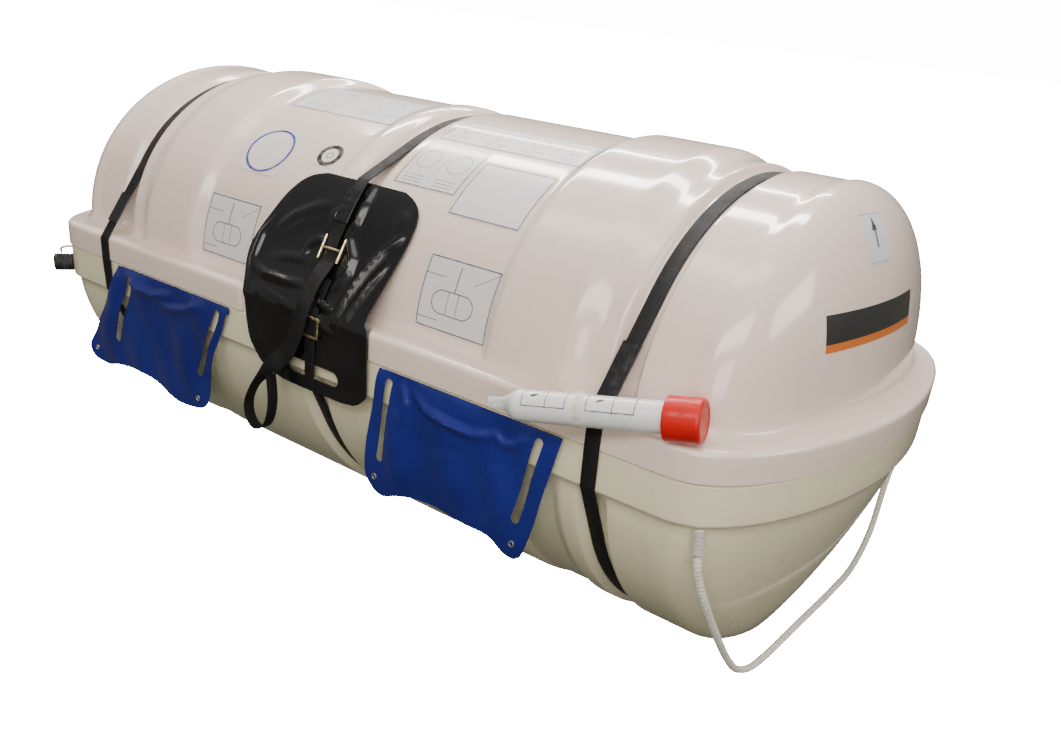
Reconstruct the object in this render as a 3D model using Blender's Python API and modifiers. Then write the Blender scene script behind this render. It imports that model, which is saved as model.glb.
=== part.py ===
# Packed inflatable life raft: a two-half moulded canister with its bands, hanging sheets and rope.
# Metres, +Z up, +X towards the end with the rope loop, -Y towards the front with the pad.
import math

import bmesh
import bpy
from mathutils import Matrix, Vector

# Driving dimensions
LENGTH = 1.600
WIDTH = 0.740
LIP_TOP = 0.423
LIP_BOTTOM = 0.379
DOME_RISE = 0.274
LEDGE = 0.045
WALL = 0.006
GAP = 0.0003

BODY_END = 0.643
PLAN_POWER_X = 2.19
PLAN_POWER_Y = 1.80
DOME_POWER = 2.05
HULL_POWER = 1.72

BAND_INSET = 0.003
BAND_BOTTOM = 0.320
RIM_INSET = 0.034
RIM_TOP = 0.405
HULL_INSET = 0.013
KEEL_HALF = 0.045
KEEL_END = 0.664

STRAP_X = 0.540
CENTRE_X = 0.005
STRAP_WIDTH = 0.025
STRAP_THICK = 0.002
GROOVE_DEPTH = 0.014
HULL_GROOVE_DEPTH = 0.012

NOTCH_X = -0.010
NOTCH_HALF = 0.140
NOTCH_DEPTH = 0.022

PAD_THICK = 0.004
PAD_TOP = 0.600
PAD_BOTTOM = 0.300
PAD_CLEAR = 0.0055
PAD_SLOT = (-0.026, 0.080, 0.323, 0.343)

SHEET_THICK = 0.0018
SHEET_HEM = 0.012
SHEET_SLOT = 0.014

BUCKLE_X = 0.009
BUCKLE_Z = 0.508
SLEEVE_THICK = 0.0015

TUBE_RADIUS = 0.020
CAP_RADIUS = 0.0275
TUBE_TIP = Vector((0.410, -0.4225, 0.4135))
TUBE_END = Vector((0.6735, -0.3560, 0.4566))

ROPE_RADIUS = 0.0055
CORD_RADIUS = 0.0025
RAFT_CLEAR = 0.016

# The frame's origin lies under the middle of the whole outline, which the tube makes deeper in front.
ORIGIN_SHIFT = Vector((0.0, 0.0291, 0.0))


def clear_scene():
    for old in list(bpy.data.objects):
        bpy.data.objects.remove(old)


def new_collection(name):
    made = bpy.data.collections.new(name)
    bpy.context.scene.collection.children.link(made)
    return made


def material(name, colour, roughness, metallic=0.0):
    made = bpy.data.materials.new(name)
    made.use_nodes = True
    shader = made.node_tree.nodes["Principled BSDF"]
    shader.inputs["Base Color"].default_value = (*colour, 1.0)
    shader.inputs["Roughness"].default_value = roughness
    shader.inputs["Metallic"].default_value = metallic
    return made


def link(name, mesh, finish, place=(0, 0, 0)):
    made = bpy.data.objects.new(name, mesh)
    made.location = place
    made.parent = stand
    made.data.materials.append(finish)
    parts.objects.link(made)
    return made


def mesh_of(name, bm):
    bmesh.ops.remove_doubles(bm, verts=bm.verts, dist=0.00002)
    bmesh.ops.recalc_face_normals(bm, faces=bm.faces)
    mesh = bpy.data.meshes.new(name)
    bm.to_mesh(mesh)
    bm.free()
    mesh.shade_smooth()
    mesh.set_sharp_from_angle(angle=math.radians(35))
    return mesh


def smooth(low, high, value):
    t = min(1.0, max(0.0, (value - low) / (high - low)))
    return t * t * (3 - 2 * t)


def bump(x, start, end, blend):
    """1 between start and end, falling softly to 0 over blend outside them."""
    return smooth(start - blend, start, x) * (1 - smooth(end, end + blend, x))


def dome_relief(x):
    """Height of the hoop bands and strap grooves over the plain dome at x."""
    far = abs(x)
    raised = 0.0135 * smooth(0.312, 0.338, far) * (1 - smooth(0.452, 0.494, far))
    strap = -GROOVE_DEPTH * bump(far, STRAP_X - 0.0145, STRAP_X + 0.0145, 0.010)
    centre = -GROOVE_DEPTH * bump(x, CENTRE_X - 0.016, CENTRE_X + 0.016, 0.012)
    rib = 0.004 * bump(x, CENTRE_X - 0.058, CENTRE_X - 0.034, 0.006)
    end = -0.003 * smooth(STRAP_X + 0.0145, STRAP_X + 0.026, far)
    return raised + strap + centre + rib + end


def hull_relief(x):
    far = abs(x)
    strap = -HULL_GROOVE_DEPTH * bump(far, STRAP_X - 0.0145, STRAP_X + 0.0145, 0.012)
    centre = -HULL_GROOVE_DEPTH * bump(x, CENTRE_X - 0.016, CENTRE_X + 0.016, 0.012)
    flute = -0.006 * bump(far, 0.400, 0.470, 0.022)
    return strap + centre + flute


def side_stations():
    """Places along the straight side where a ring has a point, close together at the steps."""
    steps = (0.20, 0.312, 0.325, 0.338, 0.400, 0.452, 0.473, 0.494, BODY_END)
    groove = (STRAP_X + side * g for side in (-1, 1) for g in (0.0145, 0.026))
    far = set(steps) | set(groove)
    centre = {CENTRE_X + g for g in (-0.064, -0.058, -0.034, -0.028, -0.016, 0.016, 0.028)}
    notch = {NOTCH_X + side * (NOTCH_HALF + g) for side in (-1, 1) for g in (-0.01, 0.0, 0.01)}
    sides = far | {-x for x in far} | centre | notch | {0.07, -0.10}
    return sorted(round(x, 4) for x in sides)


STATIONS = side_stations()
END_STEPS = 9


def ring(half_length, half_width, z):
    """One closed outline: front side, +X end, back side, -X end."""
    depth = half_length - BODY_END
    end = []
    for i in range(1, END_STEPS * 2):
        turn = math.pi * i / (END_STEPS * 2)
        side = -math.cos(turn)
        bow = math.sin(turn)
        x = BODY_END + depth * bow ** (2 / PLAN_POWER_X)
        y = half_width * math.copysign(abs(side) ** (2 / PLAN_POWER_Y), side)
        end.append((x, y))
    front = [(x, -half_width) for x in STATIONS]
    back = [(x, half_width) for x in reversed(STATIONS)]
    outline = front + end + back + [(-x, -y) for x, y in end]
    return [Vector((x, y, z)) for x, y in outline]


def loft(name, rings):
    """Skin over rings of equal count, with the last one closed across from front to back."""
    bm = bmesh.new()
    rows = [[bm.verts.new(p) for p in points] for points in rings]
    count = len(rows[0])
    for low, high in zip(rows, rows[1:]):
        for i in range(count):
            j = (i + 1) % count
            bm.faces.new((low[i], low[j], high[j], high[i]))
    last = rows[-1]
    start = len(STATIONS)
    mates = {i: (start - 1 - i) + start + END_STEPS * 2 - 1 for i in range(start)}
    for i in range(END_STEPS):
        mates[start + i] = start + END_STEPS * 2 - 2 - i
        mates[count - 1 - i] = count - (END_STEPS * 2 - 1) + i
    order = [count - END_STEPS + i for i in range(END_STEPS)] + list(range(start + END_STEPS))
    for a, b in zip(order, order[1:]):
        corners = list(dict.fromkeys((last[a], last[b], last[mates[b]], last[mates[a]])))
        if len(corners) > 2:
            bm.faces.new(corners)
    return mesh_of(name, bm)


def lip_notch(points, depth=NOTCH_DEPTH):
    """Draws the front lip back behind the pad."""
    for p in points:
        if p.y < 0 and abs(p.x) < BODY_END:
            p.y += depth * bump(p.x, NOTCH_X - NOTCH_HALF + 0.01, NOTCH_X + NOTCH_HALF - 0.01, 0.02)
    return points


def upper_rings():
    half_l, half_w = LENGTH / 2, WIDTH / 2
    rings = []
    for inset, z in ((0, LIP_BOTTOM), (0, LIP_TOP - 0.008), (0.0025, LIP_TOP - 0.0025), (0.008, LIP_TOP)):
        rings.append(lip_notch(ring(half_l - inset, half_w - inset, z), NOTCH_DEPTH - inset / 2))
    base_l, base_w = half_l - LEDGE, half_w - LEDGE
    rings.append(lip_notch(ring(base_l + 0.008, base_w + 0.008, LIP_TOP), 0.004))
    steps = 10
    for i in range(steps + 1):
        turn = math.radians(2 + 88 * i / steps)
        across, rise = math.cos(turn), math.sin(turn)
        along = (base_l - BODY_END) * max(0.0, 1 - rise**DOME_POWER) ** (1 / DOME_POWER)
        points = ring(BODY_END + along, base_w * across, LIP_TOP + DOME_RISE * rise)
        for p in points:
            if abs(p.x) < BODY_END:
                scale = 1 + dome_relief(p.x) / base_w
                p.y *= scale
                p.z = LIP_TOP + (p.z - LIP_TOP) * scale
        rings.append(points)
    return rings


def hull_half_width(z):
    depth = 1 - z / BAND_BOTTOM
    return (WIDTH / 2 - HULL_INSET) * (1 - depth**HULL_POWER) ** (1 / HULL_POWER)


def hull_half_length(z):
    depth = 1 - z / BAND_BOTTOM
    return KEEL_END + (LENGTH / 2 - HULL_INSET - KEEL_END) * (1 - depth**1.2) ** (1 / 1.2)


def lower_rings():
    half_l, half_w = LENGTH / 2, WIDTH / 2
    shoulder = LIP_BOTTOM - GAP
    rows = [
        (RIM_INSET, RIM_TOP),
        (RIM_INSET, shoulder),
        (BAND_INSET, shoulder),
        (BAND_INSET, BAND_BOTTOM + 0.004),
        (BAND_INSET + 0.003, BAND_BOTTOM),
    ]
    rings = [ring(half_l - inset, half_w - inset, z) for inset, z in rows]
    heights = (0.308, 0.278, 0.240, 0.200, 0.160, 0.120, 0.084, 0.052, 0.026, 0.009)
    for z in heights + (0.0,):
        across = KEEL_HALF if z == 0 else max(KEEL_HALF, hull_half_width(z))
        points = ring(hull_half_length(z), across, z)
        for p in points:
            if abs(p.x) < BODY_END:
                relief = hull_relief(p.x) * smooth(0.0, 0.03, BAND_BOTTOM - z)
                centre = Vector((0, BAND_BOTTOM))
                radial = (Vector((p.y, p.z)) - centre).normalized()
                p.y += radial.x * relief
                p.z += radial.y * relief
        rings.append(points)
    return rings


def shell(name, rings, finish):
    made = link(name, loft(name, rings), finish)
    wall = made.modifiers.new("wall", "SOLIDIFY")
    wall.thickness = WALL
    wall.offset = -1
    wall.use_even_offset = True
    wall.use_rim = True
    return made


def section_at(rings, x):
    """Outline of the rings in the plane at x, as (y, z) points."""
    found = []
    i = min(range(len(STATIONS)), key=lambda k: abs(STATIONS[k] - x))
    mate = (len(STATIONS) - 1 - i) + len(STATIONS) + END_STEPS * 2 - 1
    for points in rings:
        for k in (i, mate):
            found.append((points[k].y, points[k].z))
    return found


def hull_of(points):
    """Convex outline of 2D points, counter-clockwise: the path of a taut band round them."""
    points = sorted(set((round(a, 6), round(b, 6)) for a, b in points))
    halves = []
    for run in (points, points[::-1]):
        half = []
        for p in run:
            while len(half) > 1:
                (ax, ay), (bx, by) = half[-2], half[-1]
                if (bx - ax) * (p[1] - ay) - (by - ay) * (p[0] - ax) > 1e-9:
                    break
                half.pop()
            half.append(p)
        halves += half[:-1]
    return halves


def grown(outline, distance):
    """A closed counter-clockwise outline moved outwards by distance."""
    moved = []
    count = len(outline)
    for i in range(count):
        a, b, c = (Vector(outline[(i + k) % count]) for k in (-1, 0, 1))
        first = Vector(((b - a).y, -(b - a).x)).normalized()
        second = Vector(((c - b).y, -(c - b).x)).normalized()
        middle = (first + second).normalized()
        moved.append(b + middle * (distance / max(0.5, middle.dot(first))))
    return moved


def cut_line(outline, z, above):
    """The open run of a closed outline on one side of height z, with new ends on that height."""
    count = len(outline)
    keep = [(p.y > z) == above for p in outline]
    start = next(i for i in range(count) if keep[i] and not keep[i - 1])
    run = []
    for k in range(count):
        i = (start + k) % count
        if not keep[i]:
            break
        run.append(outline[i])
    before = outline[start - 1]
    after = outline[(start + len(run)) % count]
    ends = []
    for inside, outside in ((run[0], before), (run[-1], after)):
        t = (z - inside.y) / (outside.y - inside.y)
        ends.append(inside.lerp(outside, t))
    return [ends[0]] + run + [ends[1]]


def ribbon(name, line, x, width, thick, finish):
    """A flat band of webbing along a (y, z) line, its thickness on the outer side."""
    bm = bmesh.new()
    rows = [[bm.verts.new((x + side * width / 2, p.x, p.y)) for p in line] for side in (-1, 1)]
    for i in range(len(line) - 1):
        bm.faces.new((rows[0][i], rows[1][i], rows[1][i + 1], rows[0][i + 1]))
    mesh = bpy.data.meshes.new(name)
    bm.to_mesh(mesh)
    bm.free()
    made = link(name, mesh, finish)
    wall = made.modifiers.new("thickness", "SOLIDIFY")
    wall.thickness = thick
    wall.offset = -1
    wall.use_even_offset = True
    return made


def tube_curve(name, points, radius, finish, sides=2):
    curve = bpy.data.curves.new(name, "CURVE")
    curve.dimensions = "3D"
    curve.bevel_depth = radius
    curve.bevel_resolution = sides
    curve.use_fill_caps = True
    spline = curve.splines.new("POLY")
    spline.points.add(len(points) - 1)
    for point, place in zip(spline.points, points):
        point.co = (*place, 1)
    return link(name, curve, finish)


def smooth_route(points, spacing):
    """Points at an even spacing on a smooth curve through the given ones."""
    fine = []
    for i in range(len(points) - 1):
        a, b = Vector(points[max(0, i - 1)]), Vector(points[i])
        c, d = Vector(points[i + 1]), Vector(points[min(len(points) - 1, i + 2)])
        for k in range(16):
            t = k / 16
            fine.append(0.5 * (2 * b + (c - a) * t + (2 * a - 5 * b + 4 * c - d) * t * t
                               + (3 * b - a - 3 * c + d) * t**3))
    fine.append(Vector(points[-1]))
    even = [fine[0]]
    gone = 0.0
    for a, b in zip(fine, fine[1:]):
        step = (b - a).length
        while gone + step >= spacing:
            t = (spacing - gone) / step
            a = a.lerp(b, t)
            even.append(a)
            step = (b - a).length
            gone = 0.0
        gone += step
    if (even[-1] - fine[-1]).length < spacing * 0.6:
        even.pop()
    return even + [fine[-1]]


def front_run(outline, top, bottom):
    """The front stretch (negative y) of a closed outline between two heights, from the top down."""
    above = cut_line(outline, bottom, True)
    run = [above[-1]]
    for p in reversed(above[:-1]):
        if p.y > top:
            last = run[-1]
            run.append(last.lerp(p, (top - last.y) / (p.y - last.y)))
            break
        run.append(p)
    return run[::-1]


def flat_plate(name, outline, thick, finish):
    """A plate from a closed outline in X and Z, its back on the plane y = 0."""
    bm = bmesh.new()
    face = bm.faces.new([bm.verts.new((x, 0, z)) for x, z in outline])
    made = bmesh.ops.extrude_face_region(bm, geom=[face])
    moved = [v for v in made["geom"] if isinstance(v, bmesh.types.BMVert)]
    bmesh.ops.translate(bm, verts=moved, vec=(0, -thick, 0))
    return link(name, mesh_of(name, bm), finish)


clear_scene()
parts = new_collection("packed_life_raft")
cutters = new_collection("cutters")
stand = bpy.data.objects.new("stand", None)
stand.location = ORIGIN_SHIFT
parts.objects.link(stand)

ivory = material("ivory_gelcoat", (0.72, 0.67, 0.60), 0.22)
webbing = material("black_webbing", (0.02, 0.02, 0.022), 0.75)
black_sheet = material("black_coated_sheet", (0.012, 0.012, 0.013), 0.3)
blue_sheet = material("blue_coated_sheet", (0.01, 0.022, 0.22), 0.3)
brass = material("brass", (0.66, 0.5, 0.25), 0.35, 1.0)
white_plastic = material("white_plastic", (0.8, 0.79, 0.76), 0.35)
red_plastic = material("red_plastic", (0.72, 0.06, 0.04), 0.35)
cream_rope = material("cream_rope", (0.68, 0.62, 0.5), 0.85)
black_rubber = material("black_rubber", (0.02, 0.02, 0.02), 0.6)
grey_fabric = material("grey_fabric", (0.3, 0.31, 0.33), 0.9)

# Two moulded shells. The upper one seats on the shoulder of the lower one, round its raised rim.
upper = upper_rings()
lower = lower_rings()
shell("upper_shell", upper, ivory)
shell("lower_shell", lower, ivory)


def raft_rings():
    """The folded raft as one block that fills the canister, a clear way off its walls."""
    half_l, half_w = LENGTH / 2, WIDTH / 2
    rings = []
    for z in (0.0608, 0.0888, 0.1288, 0.1888, 0.280):
        across = hull_half_width(z) - RAFT_CLEAR - 0.0232
        rings.append(ring(max(BODY_END + 0.005, hull_half_length(z) - RAFT_CLEAR - 0.025), across, z))
    inner_l, inner_w = half_l - LEDGE - RAFT_CLEAR - 0.012, half_w - LEDGE - RAFT_CLEAR - 0.010
    rings.append(ring(inner_l - 0.01, inner_w - 0.008, 0.350))
    for turn in (2, 20, 38, 56, 72, 84):
        t = math.radians(turn)
        along = (inner_l - BODY_END) * max(0.0, 1 - math.sin(t) ** DOME_POWER) ** (1 / DOME_POWER)
        rise = (DOME_RISE - RAFT_CLEAR - 0.012) * math.sin(t)
        rings.append(ring(BODY_END + along, inner_w * math.cos(t), LIP_TOP + rise))
    return rings


def closed_loft(name, rings, finish):
    """A loft whose first ring is closed too."""
    lid = loft(name, rings)
    base = loft(name + "_base", rings[:1])
    bm = bmesh.new()
    bm.from_mesh(lid)
    bm.from_mesh(base)
    bpy.data.meshes.remove(lid)
    bpy.data.meshes.remove(base)
    return link(name, mesh_of(name, bm), finish)


closed_loft("packed_raft", raft_rings(), grey_fabric)


# Bands: each is taut webbing round the canister, in two halves that part at the seam.
def band_outline(x, distance):
    return grown(hull_of(section_at(upper, x) + section_at(lower, x)), distance)


BAND_GAP = 0.0006


def band(prefix, x):
    outline = band_outline(x, BAND_GAP)
    top = cut_line(outline, LIP_BOTTOM, True)
    low = cut_line(outline, LIP_BOTTOM - GAP, False)
    ribbon(prefix + "_upper", top, x, STRAP_WIDTH, STRAP_THICK, webbing)
    ribbon(prefix + "_lower", low, x, STRAP_WIDTH, STRAP_THICK, webbing)


def sleeve(name, outline, x, top, bottom):
    """The shrunk sleeve over a band's join, on its outer face."""
    ribbon(name, front_run(outline, top, bottom), x, STRAP_WIDTH + 0.006, SLEEVE_THICK, black_rubber)


band("band_right", STRAP_X)
band("band_left", -STRAP_X)
over_band = BAND_GAP + STRAP_THICK + GAP
sleeve("sleeve_right", band_outline(STRAP_X, over_band), STRAP_X, 0.505, 0.442)
sleeve("sleeve_left", band_outline(-STRAP_X, over_band), -STRAP_X, 0.492, 0.446)

# The pad wraps from the dome down over the seam, and rides with the upper shell.
pad_section = []
for station in STATIONS:
    if abs(station - NOTCH_X) < NOTCH_HALF + 0.025:
        pad_section += section_at(upper, station)
        pad_section += [(y - PAD_CLEAR if y < 0 else y, z) for y, z in section_at(lower, station)]
pad_section.append((BAND_INSET - PAD_CLEAR - WIDTH / 2, PAD_BOTTOM - 0.02))
pad_hull = hull_of(pad_section)
PAD_BACK = 0.0008
PAD_LEFT = [(0.300, -0.040), (0.304, -0.073), (0.314, -0.098), (0.343, -0.124), (0.374, -0.132),
            (0.405, -0.138), (0.430, -0.150), (0.480, -0.168), (0.540, -0.146), (0.575, -0.126),
            (0.592, -0.105), (0.600, -0.075)]
PAD_RIGHT = [(0.300, 0.090), (0.304, 0.117), (0.315, 0.134), (0.333, 0.142), (0.414, 0.139),
             (0.430, 0.126), (0.480, 0.133), (0.540, 0.143), (0.572, 0.140), (0.590, 0.122),
             (0.600, 0.092)]


def at_height(table, z):
    for (low, first), (high, second) in zip(table, table[1:]):
        if z <= high:
            break
    t = min(1.0, max(0.0, (z - low) / (high - low)))
    return first + (second - first) * t


def even_run(line, step):
    """The (y, z) line with points no further apart than step."""
    made = [line[0]]
    for a, b in zip(line, line[1:]):
        pieces = max(1, math.ceil((b - a).length / step))
        made += [a.lerp(b, k / pieces) for k in range(1, pieces + 1)]
    return made


def draped(name, line, left, right, columns, thick, finish):
    """A sheet that hangs along a (y, z) line, between edges given by height, its thickness outside."""
    bm = bmesh.new()
    rows = []
    for p in line:
        low, high = at_height(left, p.y), at_height(right, p.y)
        rows.append([bm.verts.new((low + (high - low) * k / columns, p.x, p.y)) for k in range(columns + 1)])
    for a, b in zip(rows, rows[1:]):
        for k in range(columns):
            bm.faces.new((a[k], a[k + 1], b[k + 1], b[k]))
    mesh = bpy.data.meshes.new(name)
    bm.to_mesh(mesh)
    bm.free()
    made = link(name, mesh, finish)
    wall = made.modifiers.new("thickness", "SOLIDIFY")
    wall.thickness = thick
    wall.offset = -1
    wall.use_even_offset = True
    return made


def box_cutter(name, target, low, high):
    """Cuts a box, given by two corners, out of the target."""
    bm = bmesh.new()
    bmesh.ops.create_cube(bm, size=1)
    for v in bm.verts:
        v.co = [a + (b - a) * (c + 0.5) for a, b, c in zip(low, high, v.co)]
    cut_with(target, name, mesh_of(name, bm))


def cut_with(target, name, mesh, operation="DIFFERENCE"):
    cutter = bpy.data.objects.new(name, mesh)
    cutter.parent = stand
    cutters.objects.link(cutter)
    cutter.hide_render = True
    cutter.display_type = "WIRE"
    cut = target.modifiers.new(name, "BOOLEAN")
    cut.operation = operation
    cut.solver = "EXACT"
    cut.object = cutter


def face_line(distance, top, bottom):
    """The (y, z) line over the pad's back at a distance, from the top down."""
    return front_run(grown(pad_hull, PAD_BACK + distance), top, bottom)


pad = draped("painter_pad", even_run(face_line(0, PAD_TOP, PAD_BOTTOM), 0.018), PAD_LEFT, PAD_RIGHT, 4,
             PAD_THICK, black_sheet)
slot_left, slot_right, slot_low, slot_high = PAD_SLOT
box_cutter("pad_slot", pad, (slot_left, -0.42, slot_low), (slot_right, -0.34, slot_high))


def face_point(x, z, distance):
    """A point at a distance over the pad's outer face."""
    line = face_line(PAD_THICK + distance, PAD_TOP, PAD_BOTTOM)
    for a, b in zip(line, line[1:]):
        if b.y <= z:
            break
    t = (a.y - z) / (a.y - b.y)
    return Vector((x, a.x + (b.x - a.x) * t, z))


def face_normal(z):
    low, high = face_point(0, z - 0.004, 0), face_point(0, z + 0.004, 0)
    along = (high - low).normalized()
    return Vector((0, -along.z, along.y))


# The centre band: over the dome and the pad to the buckle, and on from there down the pad's front.
pad_outer = [(p.x, p.y) for p in face_line(PAD_THICK + GAP, PAD_TOP + 0.004, PAD_BOTTOM)]
centre_section = section_at(upper, CENTRE_X) + section_at(lower, CENTRE_X) + pad_outer
centre_outline = grown(hull_of(centre_section), BAND_GAP)


def down_to(run, z):
    """The run from the back over the top, ended at height z on the front."""
    kept = [run[0]]
    for a, b in zip(run, run[1:]):
        if b.x < 0 and b.y < z:
            kept.append(a.lerp(b, (a.y - z) / (a.y - b.y)))
            break
        kept.append(b)
    return kept


BAR = 0.0022
centre_top = down_to(cut_line(centre_outline, LIP_BOTTOM, True), BUCKLE_Z + BAR + 0.0006)
ribbon("band_centre_upper", centre_top, CENTRE_X, STRAP_WIDTH, STRAP_THICK, webbing)
centre_low = cut_line(band_outline(CENTRE_X, BAND_GAP), LIP_BOTTOM - GAP, False)
centre_low = [p for p in centre_low if p.x > 0 or p.y < PAD_BOTTOM - 0.006]
ribbon("band_centre_lower", centre_low, CENTRE_X, STRAP_WIDTH, STRAP_THICK, webbing)
centre_sleeve = grown(hull_of(centre_section), over_band)
ribbon("sleeve_centre", front_run(centre_sleeve, 0.592, 0.548), CENTRE_X, STRAP_WIDTH + 0.006,
       SLEEVE_THICK, black_rubber)


def slab(bm, centre, across, along, out, size):
    """A box with its own axes, of size along each."""
    made = bmesh.ops.create_cube(bm, size=1)
    turn = Matrix((across, along, out)).transposed()
    for v in made["verts"]:
        v.co = centre + turn @ Vector((v.co.x * size[0], v.co.y * size[1], v.co.z * size[2]))


def slab_mesh(name, centre, across, along, out, size):
    bm = bmesh.new()
    slab(bm, centre, across, along, out, size)
    return mesh_of(name, bm)


def frame_at(z):
    out = face_normal(z)
    across = Vector((1, 0, 0))
    return across, out.cross(across), out


def softened(made, width):
    edge = made.modifiers.new("edges", "BEVEL")
    edge.width = width
    edge.segments = 2
    edge.limit_method = "ANGLE"


# Large buckle: two side bars and a middle bar that the band and its tail fold round.
across, along, out = frame_at(BUCKLE_Z)
middle = face_point(BUCKLE_X, BUCKLE_Z, 0) + out * (BAR + BAND_GAP + GAP)
half_inside = 0.0185
buckle = link("buckle_large", slab_mesh("buckle_large", middle, across, along, out,
                                        (2 * half_inside + 0.004, 2 * BAR, 2 * BAR)), brass)
for side in (-1, 1):
    place = middle + across * (side * (half_inside + BAR))
    bar = slab_mesh("bar", place, across, along, out, (2 * BAR, 0.040, 2.2 * BAR))
    cut_with(buckle, f"buckle_bar_{side}", bar, "UNION")


# Small buckle: a frame lower down, which the front strap runs through and the tail covers.
SMALL_Z = 0.402
STRAP_FRONT_X = 0.021
across, along, out = frame_at(SMALL_Z)
front_gap = 0.0006
small_centre = face_point(STRAP_FRONT_X, SMALL_Z, 0) + out * (front_gap + 0.0016 + GAP + 0.0015)
small_plate = slab_mesh("buckle_small", small_centre, across, along, out, (0.041, 0.033, 0.003))
small = link("buckle_small", small_plate, brass)
cut_with(small, "buckle_window", slab_mesh("window", small_centre, across, along, out, (0.033, 0.025, 0.02)))
ribbon("strap_front", face_line(PAD_THICK + front_gap, 0.470, PAD_BOTTOM + 0.002), STRAP_FRONT_X,
       0.022, 0.0016, webbing)


def webbing_path(name, stops, thick, finish):
    """Webbing along stops of (centre, half of its width as a vector), with flat ends."""
    bm = bmesh.new()
    rows = []
    for i, (centre, half) in enumerate(stops):
        before, after = stops[max(0, i - 1)][0], stops[min(len(stops) - 1, i + 1)][0]
        out = (after - before).cross(half).normalized() * (thick / 2)
        corners = (centre - half - out, centre + half - out, centre + half + out, centre - half + out)
        rows.append([bm.verts.new(c) for c in corners])
    for a, b in zip(rows, rows[1:]):
        for k in range(4):
            bm.faces.new((a[k], a[(k + 1) % 4], b[(k + 1) % 4], b[k]))
    bm.faces.new(rows[0])
    bm.faces.new(rows[-1])
    return link(name, mesh_of(name, bm), finish)


# The tail hangs from the buckle over the pad, turns edge on and ends in a loop.
tail_over = 0.0105
tail = []
for x, z, width in ((0.013, 0.499, 0.025), (0.011, 0.485, 0.025), (0.008, 0.462, 0.026),
                    (0.001, 0.425, 0.027), (-0.009, 0.395, 0.028), (-0.021, 0.367, 0.028),
                    (-0.036, 0.342, 0.026)):
    lift = tail_over if z < 0.48 else 0.0016
    tail.append((face_point(x, z, lift), x, z, width))
stops = []
for i, (centre, x, z, width) in enumerate(tail):
    before, after = tail[max(0, i - 1)][0], tail[min(len(tail) - 1, i + 1)][0]
    half = (after - before).cross(face_normal(z)).normalized() * (width / 2)
    stops.append((centre, half))
LOOP_Y = tail[-1][0].y - 0.006
loop = [(-0.052, 0.324), (-0.070, 0.303), (-0.089, 0.279), (-0.101, 0.252), (-0.101, 0.230),
        (-0.090, 0.214), (-0.073, 0.212), (-0.056, 0.224), (-0.046, 0.246), (-0.042, 0.270),
        (-0.043, 0.290)]
flat = stops[-1][1]
edge_on = Vector((0, 0.010, 0.0)) if flat.y > 0 else Vector((0, -0.010, 0.0))
for i, (x, z) in enumerate(loop):
    twist = min(1.0, (i + 1) / 3)
    half = flat.lerp(edge_on, twist)
    stops.append((Vector((x, LOOP_Y - 0.006 * min(1.0, i / 3), z)), half))
webbing_path("band_tail", stops, 0.002, webbing)


# Hanging sheets, fixed by a thick hem to the band of the lower shell under the lip.
SHEET_BACK = WIDTH / 2 + GAP
SHEET_TOP = LIP_BOTTOM - 0.0015
SHEETS = {
    "sheet_left": (
        [(-0.500, SHEET_TOP), (-0.540, 0.304), (-0.604, 0.219), (-0.615, 0.196), (-0.606, 0.181),
         (-0.556, 0.176), (-0.514, 0.187), (-0.433, 0.191), (-0.333, 0.172), (-0.268, 0.176),
         (-0.244, 0.198), (-0.238, 0.237), (-0.224, 0.286), (-0.183, SHEET_TOP)],
        [((-0.470, 0.352), (-0.515, 0.240)), ((-0.220, 0.352), (-0.266, 0.245))],
    ),
    "sheet_right": (
        [(0.165, SHEET_TOP), (0.147, 0.272), (0.144, 0.205), (0.155, 0.183), (0.188, 0.179), (0.217, 0.190),
         (0.268, 0.201), (0.334, 0.197), (0.391, 0.196), (0.420, 0.181), (0.447, 0.177), (0.456, 0.196),
         (0.477, 0.282), (0.496, SHEET_TOP)],
        [((0.187, 0.352), (0.175, 0.240)), ((0.460, 0.352), (0.437, 0.240))],
    ),
}


def slot_mesh(name, top, bottom):
    """A round-ended bar through the sheet, between two points in X and Z."""
    start, end = Vector((top[0], 0, top[1])), Vector((bottom[0], 0, bottom[1]))
    along = (end - start).normalized()
    side = Vector((along.z, 0, -along.x)) * (SHEET_SLOT / 2)
    outline = []
    for centre, sign in ((start, -1), (end, 1)):
        for k in range(7):
            angle = math.pi * k / 6
            round_end = along * (sign * SHEET_SLOT / 2 * math.sin(angle))
            outline.append(centre + side * (sign * math.cos(angle)) + round_end)
    bm = bmesh.new()
    face = bm.faces.new([bm.verts.new(p + Vector((0, -0.42, 0))) for p in outline])
    made = bmesh.ops.extrude_face_region(bm, geom=[face])
    moved = [v for v in made["geom"] if isinstance(v, bmesh.types.BMVert)]
    bmesh.ops.translate(bm, verts=moved, vec=(0, 0.07, 0))
    return mesh_of(name, bm)


for name, (outline, slots) in SHEETS.items():
    made = flat_plate(name, outline, SHEET_THICK, blue_sheet)
    made.data.transform(Matrix.Translation((0, -SHEET_BACK, 0)))
    left, right = outline[0][0] + 0.003, outline[-1][0] - 0.003
    hem_back = WIDTH / 2 - BAND_INSET + GAP
    bm = bmesh.new()
    hem_front = SHEET_BACK + 0.0009
    hem = Vector(((left + right) / 2, -(hem_back + hem_front) / 2, SHEET_TOP - 0.0005 - SHEET_HEM / 2))
    slab(bm, hem, Vector((1, 0, 0)), Vector((0, 1, 0)), Vector((0, 0, 1)),
         (right - left - 0.006, hem_front - hem_back, SHEET_HEM))
    cut_with(made, name + "_hem", mesh_of(name + "_hem", bm), "UNION")
    for i, (top, bottom) in enumerate(slots):
        cut_with(made, f"{name}_slot_{i}", slot_mesh(f"{name}_slot_{i}", top, bottom))

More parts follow.
